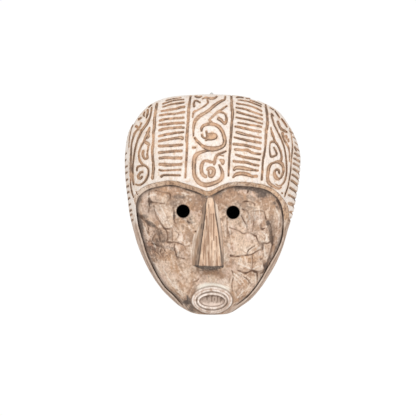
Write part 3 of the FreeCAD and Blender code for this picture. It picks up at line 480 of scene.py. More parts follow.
def smooth_line(points, step):
    """Catmull-Rom curve through points, resampled about every step mm, in all columns."""
    p = np.array(points, float)
    if len(p) == 2:
        n = max(2, int(np.hypot(*(p[1] - p[0])[:2]) / step) + 1)
        return p[0] + (p[1] - p[0]) * np.linspace(0, 1, n)[:, None]
    q = np.vstack([2 * p[0] - p[1], p, 2 * p[-1] - p[-2]])
    out = []
    for a, b, c, d in zip(q, q[1:], q[2:], q[3:]):
        n = max(2, int(np.hypot(*(c - b)[:2]) / step) + 1)
        t = np.linspace(0, 1, n, endpoint=False)[:, None]
        square, cube = 2 * a - 5 * b + 4 * c - d, 3 * b - a - 3 * c + d
        out.append(0.5 * (2 * b + (c - a) * t + square * t**2 + cube * t**3))
    return np.vstack(out + [p[-1:]])


def inside_by(line, x, z):
    """How far each point lies inside the edge of a stroke of varying width, negative outside."""
    chunk = 60000
    a, b = line[:-1], line[1:]
    ab = b[:, :2] - a[:, :2]
    length2 = np.maximum((ab**2).sum(1), 1e-9)
    best = np.full(x.shape, -1e3)
    for i in range(0, len(x), chunk):
        px, pz = x[i : i + chunk, None] - a[:, 0], z[i : i + chunk, None] - a[:, 1]
        t = np.clip((px * ab[:, 0] + pz * ab[:, 1]) / length2, 0.0, 1.0)
        away = np.hypot(px - t * ab[:, 0], pz - t * ab[:, 1])
        best[i : i + chunk] = ((a[:, 2] + t * (b[:, 2] - a[:, 2])) / 2.0 - away).max(1)
    return best


def ellipse_gap(x, z, centre_x, centre_z, half_x, half_z):
    """Distance from an ellipse seen from the front, negative inside."""
    ex, ez = (x - centre_x) / half_x, (z - centre_z) / half_z
    e = np.sqrt(ex * ex + ez * ez) + 1e-6
    return (e - 1.0) / (np.sqrt((ex / half_x) ** 2 + (ez / half_z) ** 2) / e + 1e-6)


class Sheet:
    """A field over the front view (x, z) or a side view (y, z), kept on a grid."""

    def __init__(self, low, high, step, fill):
        self.low, self.step = np.array(low, float), step
        self.n = tuple(int(np.ceil((h - l) / step)) + 1 for l, h in zip(low, high))
        self.v = np.full(self.n, fill, float)

    def places(self, first, end):
        """Flat coordinates of a range of cells."""
        across, up = (self.low[k] + np.arange(first[k], end[k]) * self.step for k in (0, 1))
        return (c.ravel() for c in np.meshgrid(across, up, indexing="ij"))

    def draw(self, lines, reach=5.0):
        """Raise the field to how far inside a stroke it lies, up to reach beyond the edge."""
        for points in lines:
            line = smooth_line(points, 1.0)
            margin = reach + line[:, 2].max() / 2
            lo = np.floor((line[:, :2].min(0) - margin - self.low) / self.step).astype(int)
            hi = np.ceil((line[:, :2].max(0) + margin - self.low) / self.step).astype(int) + 1
            lo, hi = np.maximum(lo, 0), np.minimum(hi, self.n)
            if (hi <= lo).any():
                continue
            part = self.v[lo[0] : hi[0], lo[1] : hi[1]]
            inside = inside_by(line, *self.places(lo, hi)).reshape(part.shape)
            np.maximum(part, inside, out=part)
        return self

    def at(self, x, z):
        fx = np.clip((np.asarray(x) - self.low[0]) / self.step, 0, self.n[0] - 1.001)
        fz = np.clip((np.asarray(z) - self.low[1]) / self.step, 0, self.n[1] - 1.001)
        ix, iz = fx.astype(int), fz.astype(int)
        tx, tz = fx - ix, fz - iz
        v = self.v
        lower = v[ix, iz] * (1 - tx) + v[ix + 1, iz] * tx
        upper = v[ix, iz + 1] * (1 - tx) + v[ix + 1, iz + 1] * tx
        return lower * (1 - tz) + upper * tz


# ------------------------------------------------------------------ carving fields
def stroke_sheet(low, high, lines):
    return Sheet(low, high, CARVING_STEP, -9.0).draw(lines)


def left_bar(z):
    """A bar of the left ladder in the side view, running back to the rim: y, z, width."""
    front = -24.0 if z < 205 else -19.0 if z < 224 else -9.0
    return [(front, z + 1.6, 2.4), (front * 0.5, z + 0.4, 3.0), (-3.2, z - 0.4, 3.0)]


def right_bar(z):
    return [(-22.0, z + 1.2, 2.3), (-12.0, z - 0.8, 2.4), (-3.2, z - 1.6, 2.2)]


def crease_sheet():
    """Distance in the front view from the crease round the face, negative on the face."""
    sheet = Sheet((-126, -14), (127, 304), 1.0, 0.0)
    line = smooth_line([(x, z, 0.0) for x, z in CREASE], 2.0)
    loop = np.vstack([line, line[:1]])
    px, pz = sheet.places((0, 0), sheet.n)
    gap = -inside_by(loop, px, pz)
    inside = np.zeros(len(px), bool)
    for (x1, z1, _), (x2, z2, _) in zip(loop[:-1], loop[1:]):
        if z1 != z2:
            spans = (z1 > pz) != (z2 > pz)
            inside ^= spans & (px < (x2 - x1) * (pz - z1) / (z2 - z1) + x1)
    sharp = np.where(inside, -gap, gap).reshape(sheet.n)
    # The brow's middle point hangs down as a sharp V; the bevel rounds off above it.
    soft = sharp.copy()
    for _ in range(26):
        soft[1:-1, 1:-1] = (
            soft[1:-1, 1:-1] * 2
            + soft[:-2, 1:-1] + soft[2:, 1:-1] + soft[1:-1, :-2] + soft[1:-1, 2:]
        ) / 6.0
    share = rise(-1.0, 2.5, sharp) * (np.abs(px) < 40).reshape(sheet.n)
    sheet.v = sharp * (1 - share) + soft * share
    return sheet


carving = stroke_sheet((-126, -4), (127, 304), CARVING)
cracks = stroke_sheet((-110, -4), (110, 190), CRACKS)
nose_grain = stroke_sheet((-30, 55), (30, 165), NOSE_GRAIN)
fibres = stroke_sheet((-110, -4), (110, 190), FIBRES)
left_side = stroke_sheet((-60, 100), (2, 304), map(left_bar, LEFT_BARS))
right_side = stroke_sheet((-60, 100), (2, 304), map(right_bar, RIGHT_BARS))
crease_gap = crease_sheet()


def bevel_width(x, z):
    """Width, seen from the front, of the slanted wall between the hood's edge and the face."""
    return np.where(x < 0, 1.0 + 6.0 * rise(143.0, 162.0, z), np.interp(z, *RIGHT_BEVEL.T))


def cut_of(x, y, z):
    """How far inside a carved line's edge a point of the outer surface lies."""
    cut = carving.at(x, z)
    cut = np.where(x < -60, np.maximum(cut, left_side.at(y, z)), cut)
    return np.where(x > 60, np.maximum(cut, right_side.at(y, z)), cut)


# ------------------------------------------------------------------ solid field
def nose_frame(x, z):
    """Nose's centre line, half width of its front face, half width at its foot, front depth."""
    left, right, left_foot, right_foot = (np.interp(z, NOSE[:, 0], NOSE[:, k]) for k in (1, 2, 3, 4))
    centre = (left + right) / 2.0
    foot = np.where(x < centre, centre - left_foot, right_foot - centre)
    t = np.clip((157.0 - z) / 92.0, -0.08, 1.02)
    return centre, (right - left) / 2.0, foot, 85.5 + 11.3 * t


def pit(x, y, z):
    """Distance from the hollow's surface, with its flat ends, negative inside it."""
    return np.maximum(shell(HOLLOW, x, y, z), np.maximum(HOLLOW_LOW - z, z - HOLLOW_HIGH))


def head_field(x, y, z, face_depth):
    """The block with its carved outside and its sunken, cracked face."""
    gap = crease_gap.at(x, z)
    step = np.clip(depth_of(OUTER, x, z) - face_depth, 2.0, 14.0)
    flare = bevel_width(x, z)
    wobble = noise(x, y, z, 16.0, 3) * 0.35 + noise(x, y, z, 6.0, 4) * 0.16

    # The carved lines are shallower on the sides.
    cut = cut_of(x, y, z)
    relief = 2.1 * rise(-0.4, 1.15, cut) + 0.15 * rise(-1.4, 0.0, cut)
    relief = relief * (1.0 - 0.5 * rise(102.0, 116.0, np.abs(x)))
    outer = shell(OUTER, x, y, z) + relief + wobble * 0.6
    strip = rise(0.0, 1.0, flare - gap) * rise(58.0, 76.0, np.abs(x)) * (z > 96) * (z < 200)
    outer = outer + 1.1 * strip

    face = shell(FACE, x, y, z)
    face = face + 0.75 * rise(-0.3, 0.6, cracks.at(x, z)) + 1.3 * wobble * rise(0.0, -6.0, gap)
    face = face - 0.35 * rise(-0.5, 0.5, fibres.at(x, z))
    face = face + 1.1 * band(gap, -0.4, 1.1)
    climb = np.clip((-y - face_depth) / step, 0.0, 1.3)
    prism = (gap - flare * climb) / np.sqrt(1.0 + (flare / step) ** 2)
    return smax(outer, -smax(prism, -face, 0.5), 0.9)


def nose_field(x, depth, z, face_depth):
    """Wedge nose, flat in front and undercut at its foot."""
    centre, half_top, foot, front = nose_frame(x, z)
    across = np.abs(x - centre)
    drop = front - depth
    slope = (foot - half_top) / np.maximum(front - face_depth + 0.5, 5.0)
    side = (across - half_top - drop * slope) / np.sqrt(1.0 + slope**2)
    top = depth - front + 0.9 * rise(-0.4, 0.5, nose_grain.at(x, z)) + 0.03 * across
    under = (64.6 - drop * 0.13 - z) + 0.012 * across**2
    over = (z - 160.5) * 0.6 + (depth - 84.5) * 0.5
    return smax(smax(smax(top, side, 1.0), under, 0.9), over, 3.0)


def with_mouth(body, x, depth, z):
    """Adds the grooved lips, which widen towards the face, and sinks the cup in them."""
    spread = np.clip((76.0 - depth) / 42.0, -0.2, 1.2)
    centre_x, centre_z, half_x, half_z = LIP
    lips = ellipse_gap(
        x, z, centre_x, centre_z + 13.0 * spread, half_x + 10.0 * spread, half_z + 13.5 * spread
    )
    front = depth - 75.6 + 0.0016 * ((x - 0.8) ** 2 + 2.2 * (z - 18.4) ** 2)
    front = front + 1.5 * band(ellipse_gap(x, z, *LIP_GROOVE), 0.0, 1.0)
    front = front + 0.5 * band(ellipse_gap(x, z, *LIP_LINE), 0.0, 0.8) * rise(20, 30, z)
    body = smin(body, smax(lips, front, 3.0), 2.5)
    floor = 73.8 - 3.2 * rise(9.0, 22.0, z) + 0.5 * noise(x * 2.2, 0.0, z * 0.7, 6.0, 8)
    return smax(body, -smax(ellipse_gap(x, z, *MOUTH_CUP), floor - depth, 0.8), 0.7)


def hollow_field(x, y, z):
    """Gouged hollow in the back."""
    gouge = 0.55 * np.abs(np.sin(0.33 * x + 1.6 * noise(x, y, z, 26.0, 5)))
    gouge = gouge + 0.35 * np.abs(np.sin(0.21 * z + 1.2 * noise(x, y, z, 22.0, 6)))
    ends = smax(HOLLOW_LOW - z, z - HOLLOW_HIGH, 1.0)
    return smax(shell(HOLLOW, x, y, z) + gouge, ends, 4.0)


def solid(x, y, z):
    """The whole carved block as one field in mm, negative inside."""
    depth = -y
    face_depth = depth_of(FACE, x, z)
    body = head_field(x, y, z, face_depth)
    body = smin(body, nose_field(x, depth, z, face_depth), 1.0)
    body = with_mouth(body, x, depth, z)
    for eye_x, eye_z in EYES:
        radius = np.hypot(x - eye_x, z - eye_z)
        body = smax(body, EYE_R - radius + 0.12 * noise(x, y, z, 4.0, 9), 1.0)
    body = smax(body, -hollow_field(x, y, z), 2.0)
    hanger_seat = smax(smax(np.abs(x) - 12.0, -(y + 5.0), 0.3), 255.6 - z, 0.3)
    body = smax(body, -hanger_seat, 0.5)
    body = smax(body, y, 1.2)
    return smax(smax(body, -z, 2.4), z - 300.0, 2.4)


# ------------------------------------------------------------------ the wooden block's mesh
def mesh_field():
    """Points and quads of the solid's surface, worked out in layers to save memory."""
    layers, limit = 24, 3.0
    count = np.ceil((MESH_HIGH - MESH_LOW) / VOXEL).astype(int) + 1
    axes = [MESH_LOW[i] + np.arange(count[i]) * VOXEL for i in range(3)]
    field = np.empty(count, np.float32)
    for k in range(0, count[2], layers):
        x, y, z = np.meshgrid(axes[0], axes[1], axes[2][k : k + layers], indexing="ij")
        coarse, hollow = shell(OUTER, x, y, z), pit(x, y, z)
        near = (coarse < 6.0) & (hollow > -8.0)
        near |= (np.abs(x) < 40) & (coarse < 40.0) & (y < -50)
        values = np.where(coarse < 0, -6.0, 6.0)
        values[hollow < -4.0] = 6.0
        values[near] = solid(x[near], y[near], z[near])
        field[:, :, k : k + layers] = values
    grid = openvdb.FloatGrid()
    grid.background = limit
    grid.copyFromArray(np.clip(field, -limit, limit))
    points, quads = grid.convertToQuads(0.0)
    return np.asarray(points, float) * VOXEL + MESH_LOW, np.asarray(quads)


def vertex_values(mesh, key):
    values = np.zeros(len(mesh.vertices) * 3, np.float32)
    mesh.vertices.foreach_get(key, values)
    return values.reshape(-1, 3)


def make_mask(points, quads):
    mesh = bpy.data.meshes.new("carved_block")
    mesh.vertices.add(len(points))
    places = ((points - [0.0, 0.0, HANG]) * MM).astype(np.float32)
    mesh.vertices.foreach_set("co", places.ravel())
    mesh.loops.add(len(quads) * 4)
    mesh.loops.foreach_set("vertex_index", quads[:, ::-1].astype(np.int32).ravel())
    mesh.polygons.add(len(quads))
    mesh.polygons.foreach_set("loop_start", (np.arange(len(quads)) * 4).astype(np.int32))
    mesh.update(calc_edges=True)
    mesh.validate()
    obj = bpy.data.objects.new("carved_wood", mesh)
    bpy.context.scene.collection.objects.link(obj)
    # The flat back must face +y.
    if vertex_values(mesh, "normal")[:, 1][points[:, 1] > -1.3].mean() < 0:
        mesh.flip_normals()
    mesh.polygons.foreach_set("use_smooth", np.ones(len(mesh.polygons), bool))
    return obj


def is_hidden(x, y, z):
    """Points on the back, in the hollow or in the hanger's seat."""
    reach = np.where((z > 243) | (z < 25), -42.0, -75.0)
    in_seat = (np.abs(x) < 12.6) & (y > -5.6) & (z > 255)
    return (y > -2.0) | ((pit(x, y, z) < 1.6) & (y > reach)) | in_seat


def thin_back(obj, points):
    """Thins the hidden part of the mesh and gives back the points that are left."""
    group = obj.vertex_groups.new(name="back")
    group.add(np.nonzero(is_hidden(*points.T))[0].tolist(), 1.0, "REPLACE")
    thin = obj.modifiers.new("thin_back", "DECIMATE")
    thin.ratio = 0.62
    thin.vertex_group = "back"
    thin.use_collapse_triangulate = False
    bpy.context.view_layer.objects.active = obj
    obj.select_set(True)
    bpy.ops.object.modifier_apply(modifier="thin_back")
    mesh = obj.data
    mesh.validate()
    places = vertex_values(mesh, "co")
    places[:, 1] = np.minimum(places[:, 1], 0.0)  # nothing behind the back plane
    mesh.vertices.foreach_set("co", places.ravel())
    mesh.update()
    obj.vertex_groups.clear()
    return places.astype(float) * 1000.0 + [0.0, 0.0, HANG]


points, quads = mesh_field()
mask = make_mask(points, quads)
if FINE:
    points = thin_back(mask, points)
block = mask.data

# ------------------------------------------------------------------ colour tables
# Tones are sRGB, 0 to 255.
WHITE, CREAM, SAND, TAN = (238, 228, 219), (230, 214, 200), (216, 190, 166), (208, 173, 145)
# The soot tone also serves as painted shade in the hood's cuts and under the nose.
BROWN, DARK, GREY, SOOT_AND_SHADE = (152, 120, 98), (112, 90, 76), (150, 136, 126), (92, 80, 73)
RAW, RAW_DARK, PINK, ORANGE = (186, 152, 118), (132, 100, 74), (214, 186, 170), (206, 164, 128)
# Pale chips and fibres; the same tone is the painted highlight beside each crack.
PALE_CHIP_AND_HIGHLIGHT = (240, 226, 212)

# Soft ellipses: x, z, half sizes, turn in degrees, amount.
# Where the wash is thick (+) or worn through (-). The row at -4.8 57.5 is painted shadow under the
# nose.
WASH = rows("""
-6.2 151.4 35.6 12.3 0 -0.95, -34.9 152.8 19.2 8.2 10 -0.35,
33.6 159.6 21.9 8.2 -10 -0.45, -62.3 166.5 27.4 5.5 0 -0.3,
-84.3 156.9 12.3 11 -30 0.55, -70.6 139.1 12.3 13.7 -25 0.55,
-48.6 150 13.7 11 30 -0.6, -54.1 122.6 12.3 8.2 -20 -0.35,
-89.7 111.7 8.2 12.3 -10 0.35, -96.6 122.6 6.9 19.2 -8 -0.7,
-84.3 91.1 12.3 11 0 -0.4, -66.4 106.2 13.7 11 0 -0.55,
-47.3 87 11 11 0 0.15, -66.4 80.1 16.4 8.2 0 -0.3,
-32.2 108.9 11 24.7 0 -0.5, -70.6 62.3 17.8 12.3 40 0.35,
-56.9 45.9 16.4 12.3 40 0.55, -40.4 34.9 12.3 11 0 0.2,
-41.8 45.9 5.5 9.6 0 -0.35, -3.4 45.9 20.6 8.2 0 0.8,
-4.8 57.5 17.8 4.1 0 -0.45, -24 45.9 9.6 13.7 0 -0.1,
24 136.3 6.9 19.2 0 -0.1, 45.9 136.3 13.7 12.3 0 -0.1,
62.3 136.3 6.9 12.3 0 0.5, 44.5 147.3 12.3 5.5 0 -0.3,
44.5 100.7 20.6 16.4 0 0.6, 73.3 107.5 6.9 12.3 0 0.6,
80.1 124 6.9 11 0 -0.7, 84.3 96.6 5.5 21.9 12 -0.45,
88.4 137.7 5.5 11 -12 0.55, 95.2 117.1 5.5 24.7 8 0.05,
40.4 66.4 15.1 8.2 0 0.65, 59.6 78.8 12.3 5.5 0 -0.3,
61 63.7 8.2 6.9 0 0.6, 76 67.8 5.5 11 0 -0.5,
40.4 48.6 15.1 8.2 35 0.35, 62.3 44.5 6.9 11 0 0.45,
33.6 24 9.6 12.3 0 0, 21.2 87 5.5 16.4 0 0.35,
77.4 148.6 11 9.6 0 -0.2, 69.2 155.5 19.2 6.9 20 -0.5""")
# Where the worn wood leans to another tone, given before the amount.
LEAN = [
    (-6.2, 151.4, 32.9, 11.0, 0, BROWN, 0.4), (-37.7, 155.5, 21.9, 8.2, 10, GREY, 0.3),
    (40.4, 148.6, 17.8, 9.6, 0, GREY, 0.35), (-48.6, 148.6, 12.3, 9.6, 30, GREY, 0.4),
    (-84.3, 91.1, 13.7, 11.0, 0, (160, 116, 96), 0.55), (-66.4, 103.4, 16.4, 12.3, 0, GREY, 0.35),
    (-96.6, 119.9, 6.9, 19.2, -8, GREY, 0.6), (-56.9, 70.6, 13.7, 11.0, 0, ORANGE, 0.3),
    # the brown entry at (-4.8, 58.2) is painted shadow under the nose
    (45.9, 77.4, 19.2, 6.9, 0, ORANGE, 0.55), (-4.8, 58.2, 17.8, 3.6, 0, BROWN, 0.45),
    (80.1, 117.1, 8.2, 19.2, 0, GREY, 0.55), (29.5, 21.2, 9.6, 15.1, 20, ORANGE, 0.55),
    (-26.7, 121.2, 11.0, 21.9, 0, (188, 158, 132), 0.45),
    (92.5, 121.2, 6.9, 32.9, 6, (196, 152, 126), 0.35), (-32.2, 70.6, 11.0, 13.7, 0, SAND, 0.35),
]
# Smoke-dark stains. The row at -4.8 60.1 is painted shadow under the nose.
STAINS = rows("""
62.3 167.8 15.1 3.4 -13 0.92, 45.9 171.1 13.7 2.1 -3 0.8,
68.5 162.6 5.8 4.9 0 0.68, 55.5 156.9 11 4.1 -30 0.35,
36.3 169.2 12.3 2.7 12 0.35, 76.6 124.5 3 4.4 0 0.9,
80.1 114.4 3 8.2 10 0.55, 81.5 102.1 4.1 6.9 0 0.45,
69.2 92.5 2.2 9.6 0 0.4, 73.8 63.7 3.3 8.2 -6 0.85,
78.8 76 2.7 8.2 -20 0.55, 87 148.6 2.7 8.2 30 0.75,
95.2 144.5 2.7 6.9 15 0.4, -97.4 119.9 5.5 19.2 8 0.68,
-82.9 123.2 9.6 3 -32 0.75, -90.3 132.8 6 3.6 -20 0.55,
-71.9 111.7 5.5 5.5 0 0.45, -73.3 99.3 12.3 5.5 0 0.35,
-55.5 107.5 3.6 9.6 0 0.3, -84.3 89.7 9.6 4.7 -10 0.45,
-59.6 91.1 17.8 2.7 -12 0.35, -45.9 80.1 4.1 6.9 0 0.3,
-82.9 152.8 3 6.9 0 0.55, -7.5 156.2 16.4 4.9 0 0.3,
3.4 164.4 16.4 3.3 8 0.3, -78.8 145.9 16.4 16.4 -20 0.16,
47.3 133.6 20.6 16.4 0 0.16, 65.1 163.7 13.7 6.2 -18 0.45,
-56.2 155.5 9.6 4.1 -60 0.3, -32.2 17.8 5.5 7.7 -10 0.9,
-27.3 10.3 4.4 6.3 0 0.8, -41.8 10.8 13.7 2.5 -38 0.7,
-28.1 5.3 9.6 2.2 -22 0.6, -37.7 137.7 11.8 11.8 0 0.42,
-30 125.4 6.3 3.6 0 0.5, 26.7 138.2 11 11 0 0.38,
-50.3 134.1 1.9 8.9 0 0.7, 36.3 150 8.2 2.7 0 0.3,
-45.9 160.4 8.2 4.1 0 0.35, -11.1 136.3 1.8 17.8 -4 0.45,
-4.8 60.1 16.4 2.1 0 0.5, 88.4 88.4 2.7 11 -18 0.45,
51.4 145.9 9.6 1.6 -10 0.4""")

# ------------------------------------------------------------------ fields for the colours
x, y, z = points.T
depth = -y
hidden = is_hidden(x, y, z)


def paint(under, *coats):
    """Lays coats over a tone, each as (tone, amount). Amounts are cut off at 0 and 1."""
    under = np.array(under, float)
    for tone, amount in coats:
        amount = np.clip(amount, 0.0, 1.0)[:, None]
        under = under * (1.0 - amount) + np.array(tone, float) * amount
    return under


def mottle(size, seed, stretch=(1.0, 1.0, 1.0)):
    return noise(x, y, z, size, seed, stretch)


def spot(centre_x, centre_z, half_x, half_z, turn=0.0):
    """1 in the middle of a soft ellipse, 0 outside."""
    a = np.radians(turn)
    u, v = x - centre_x, z - centre_z
    p, q = u * np.cos(a) + v * np.sin(a), v * np.cos(a) - u * np.sin(a)
    return rise(1.25, 0.25, np.sqrt((p / half_x) ** 2 + (q / half_z) ** 2))


big, mid, small, tiny = mottle(30.0, 11), mottle(11.0, 12), mottle(4.2, 13), mottle(1.7, 14)
streak = noise(x + 0.35 * z, y, z, 3.0, 15, (1.0, 1.0, 5.0))
fibre = mottle(1.6, 16, (1.0, 1.0, 9.0))
patchy, specks = mottle(7.0, 31), mottle(1.9, 52)
gap = crease_gap.at(x, z)
cut = cut_of(x, y, z)
flare = bevel_width(x, z)
face_depth = depth_of(FACE, x, z)
inward = shell(OUTER, x, y, z) < -1.2
in_face = (gap < flare + 1.0) & (inward | (gap < np.where(z > 104, flare - 0.3, -3.0)))
in_face = in_face & ~hidden & (cut < -0.6) & (depth > 12)

# ------------------------------------------------------------------ hood's colours
# Painted shade darkens the walls of each cut, most on the lower wall where the cut's floor lies in
# shade; side panels are paler in patches and get less of it.
wall = rise(-0.1, 0.45, cut) * rise(1.9, 1.1, cut)
# Share of the lower wall of each cut, where the painted shade is heaviest.
lower_wall_shade = rise(-0.9, 0.7, carving.at(x, z + 0.9) - carving.at(x, z - 0.9))
panel = rise(70.0, 84.0, np.abs(x)) * rise(110.0, 104.0, np.abs(x)) * np.where(x < 0, 0.75, 0.25)
wall = wall * (1.0 - panel * rise(-0.4, 0.4, mottle(13.0, 71)))
ground = paint(
    TAN,
    (BROWN, 0.28 + 0.4 * mid + 0.2 * small),
    (ORANGE, 0.35 + 0.5 * big - 0.3 * mid),
    (SAND, 0.20 + 0.5 * patchy),
    ((214, 178, 144), panel * 0.5),
    (BROWN, wall * (0.45 + 0.5 * mid + 0.4 * tiny + 0.2 * small) * (0.45 + 0.75 * lower_wall_shade)),
    (DARK, wall * rise(-0.45, 0.35, big + 0.7 * small + 0.3 * tiny) * (0.15 + 0.85 * lower_wall_shade)),
    (SOOT_AND_SHADE, wall * rise(0.0, 0.7, mid + 0.5 * small + 0.3 * tiny) * 0.75 * lower_wall_shade),
    # painted highlight on the floor in the middle of each cut
    ((232, 200, 168), rise(1.3, 2.0, cut) * (0.30 + 0.6 * small + 0.4 * tiny)),
    (BROWN, rise(1.2, 1.8, cut) * rise(0.0, 0.6, small - 0.5 * mid + 0.4 * tiny) * 0.55),
)
# White wash on the ridges between the cuts.
ridge = paint(
    WHITE,
    (CREAM, 0.30 + 0.45 * mid + 0.5 * tiny),
    ((214, 203, 198), rise(0.0, 0.8, mottle(2.4, 51)) * 0.5),
    ((206, 178, 154), rise(-1.6, -0.4, cut) * (0.30 + 0.3 * small + 0.3 * tiny)),
    (SAND, 0.12 + 0.55 * (small - 0.25) + 0.3 * (tiny - 0.2)),
    (TAN, rise(0.42, 0.85, small * 0.7 + tiny * 0.6) * 0.3),
)
hood = paint(ridge, (ground, rise(-0.4, 0.2, cut + 0.14 * tiny + 0.1 * small)))

# Sides below the hood: thin wash over bare wood.
rim = paint(
    (200, 175, 157),
    (CREAM, 0.20 + 0.4 * mid + 0.2 * streak),
    (BROWN, 0.20 + 0.35 * small + 0.2 * fibre),
    (DARK, 0.5 * band(gap - 3.4 - 0.8 * mid, 0.0, 0.6)),
    # painted highlight along the rim's inner edge, beside the crease
    ((226, 208, 192), 0.55 * band(gap, 1.9, 0.7)),
)
outside = paint(hood, (rim, rise(131.0, 121.0, z + 4.0 * mid)))

# ------------------------------------------------------------------ face's colours
worn = paint(
    (180, 146, 121),
    (ORANGE, 0.45 * rise(0.0, 0.8, mottle(15.0, 27))),
    (GREY, 0.45 * rise(0.1, 0.8, mottle(10.0, 28) + 0.3 * small)),
    *[(tone, amount * spot(*place)) for *place, tone, amount in LEAN],
    (DARK, 0.30 * rise(0.0, 0.8, small * 0.6 + streak * 0.6)),
)
wash = paint(
    (222, 195, 172),
    (PINK, 0.6 * rise(-0.2, 0.6, mottle(13.0, 26))),
    ((238, 222, 206), 0.8 * rise(0.0, 0.8, mid * 0.5 + streak * 0.5 + 0.4 * tiny)),
    (SAND, 0.5 * rise(0.1, 0.7, small)),
)
thick = 0.13 + 0.34 * mottle(14.0, 40) + 0.30 * mottle(6.5, 41) + 0.34 * mottle(3.0, 42)
thick = thick + 0.26 * mottle(1.5, 43) + 0.26 * streak
for *place, amount in WASH:
    thick = thick + 0.8 * amount * spot(*place)

# Thin veins, specks, cracks and chips.
vein = 1.0 - np.abs(mottle(9.0, 22) + 0.35 * mottle(3.4, 23))
vein_fine = 1.0 - np.abs(mottle(4.6, 24) + 0.4 * mottle(2.0, 25))
left_patch = spot(-84.0, 94.0, 34.0, 28.0, -10.0)
right_patch = spot(66.0, 96.0, 30.0, 62.0, -8.0)
crack = cracks.at(x, z)
# Painted highlight on the upper-left lip of each crack, from the crack field shifted.
crack_highlight = rise(-0.4, 0.5, cracks.at(x + 1.3, z - 1.3))
crack_core = rise(0.05, 0.75, crack + 0.35 * tiny + 0.2 * specks)
crack_depth = np.clip(0.62 + 0.9 * mottle(6.0, 72), 0.15, 1.0)
face = paint(
    worn,
    (wash, rise(-0.30, 0.34, thick)),
    (BROWN, rise(0.86, 0.98, vein) * (0.20 + 0.4 * left_patch + 0.35 * right_patch)),
    (DARK, rise(0.80, 0.97, vein_fine) * (0.16 + 0.60 * left_patch + 0.18 * right_patch)),
    (DARK, 0.40 * rise(0.20, 0.80, specks + 0.5 * small) * (0.6 + 0.8 * left_patch)),
    ((244, 230, 216), 0.35 * rise(0.25, 0.80, -specks + 0.4 * mid)),
    (PALE_CHIP_AND_HIGHLIGHT, 0.45 * crack_highlight * (0.7 + 0.6 * mid)),
    (BROWN, 0.40 * rise(-1.2, 0.2, crack)),
    ((96, 72, 57), 0.95 * crack_core * crack_depth),
    (PALE_CHIP_AND_HIGHLIGHT, 0.70 * rise(-0.7, 0.9, fibres.at(x, z) + 0.8 * tiny + 0.5 * small)),
)
for *place, amount in STAINS:
    stain = spot(*place)
    ragged = rise(0.10, 0.85, stain + 0.32 * small + 0.30 * tiny + 0.25 * streak) * (stain > 0)
    face = paint(face, (SOOT_AND_SHADE, amount * ragged * np.clip(0.85 + 0.5 * specks, 0.3, 1.0)))

# Soot along the crease, then the slanted wall above it and the jaw's rim.
sooty = 0.15 + 0.35 * rise(-92.0, -100.0, x) + 0.55 * spot(60.0, 170.0, 34.0, 12.0)
sooty = sooty + 0.2 * mid + 0.3 * big + 0.30 * rise(0.0, -30.0, x) * rise(120.0, 90.0, z)
ends = np.clip(rise(2.0, 12.0, np.abs(x + 5.5)) + (z < 100), 0.15, 1.0)
bevel = paint(
    (212, 182, 156),
    (ORANGE, 0.25 + 0.5 * mid),
    (CREAM, rise(0.0, 0.7, big + 0.5 * patchy) * 0.7),
    (BROWN, rise(0.0, 0.7, small + 0.4 * tiny) * 0.6),
    (DARK, rise(0.80, 0.96, vein_fine) * 0.5),
    ((240, 216, 190), rise(0.2, 0.7, mottle(3.4, 53)) * 0.6),
    (DARK, rise(-1.8, 0.0, gap - flare) * (0.35 + 0.3 * rise(40.0, 80.0, x))),
)
# The jaw rim's inner wall: the rim's tone darkened with painted shade.
inner_rim_shaded = paint((172, 148, 131), (BROWN, 0.2 + 0.4 * mid))
face = paint(
    face,
    (SOOT_AND_SHADE, band(gap, -2.0, 2.4) * np.clip(sooty, 0.0, 0.8)),
    ((84, 70, 62), band(gap, -0.1, 1.25) * (0.85 + 0.35 * mid + 0.3 * small) * ends),
    (bevel, rise(0.5, 1.5, gap) * rise(100.0, 116.0, z)),
    (inner_rim_shaded, rise(0.5, 1.5, gap) * rise(116.0, 100.0, z)),
)

# ------------------------------------------------------------------ nose's colours
centre, half_top, foot, _ = nose_frame(x, z)
u = (x - centre) / half_top
edge_gap = np.abs(x - centre) - half_top
foot_gap = np.abs(x - centre) - foot
nose_front = paint(
    (214, 180, 153),
    (SAND, 0.3 + 0.5 * fibre),
    (ORANGE, 0.3 * rise(0.0, 0.7, mid)),
    (BROWN, 0.8 * rise(-0.6, 0.4, nose_grain.at(x, z)) + 0.35 * rise(0.0, 0.8, streak)),
    ((238, 216, 194), 0.55 * rise(0.1, 0.6, mottle(2.2, 61, (1.0, 1.0, 8.0)))),
    ((240, 222, 204), 0.6 * rise(0.1, 0.8, fibre) * rise(-0.2, 0.6, u) * rise(100.0, 70.0, z)),
)
flank_line = band(edge_gap - 4.2 - 0.9 * mid, 0.0, 0.8) * rise(-0.4, 0.4, mid + small)
foot_light = band(foot_gap, -2.0, 1.3) * (rise(74.0, 84.0, z) * rise(126.0, 114.0, z))
left_flank = paint(
    (190, 162, 138),
    (BROWN, 0.20 + 0.5 * mid + 0.3 * streak),
    ((150, 130, 115), rise(6.0, 2.5, edge_gap + 0.8 * mid) * (0.75 + 0.3 * small)),
    ((104, 86, 74), flank_line * 0.8),
    ((232, 214, 198), foot_light * (0.75 + 0.4 * small)),
    ((74, 62, 55), band(edge_gap, 0.7, 0.95) * (0.90 + 0.3 * small)),
)
right_flank = paint(
    (214, 190, 170),
    (BROWN, 0.15 + 0.4 * mid),
    # painted highlight on the upper right flank
    ((240, 224, 208), rise(105.0, 120.0, z) * (0.6 + 0.4 * fibre)),
    ((122, 104, 92), rise(2.6, 1.2, edge_gap + 0.5 * mid) * 0.8),
    ((96, 78, 66), band(edge_gap, 0.6, 0.85) * (0.75 + 0.3 * small)),
    ((134, 118, 106), rise(88.0, 78.0, z) * 0.7),
    (DARK, band(foot_gap, -0.4, 0.8) * 0.45),
)
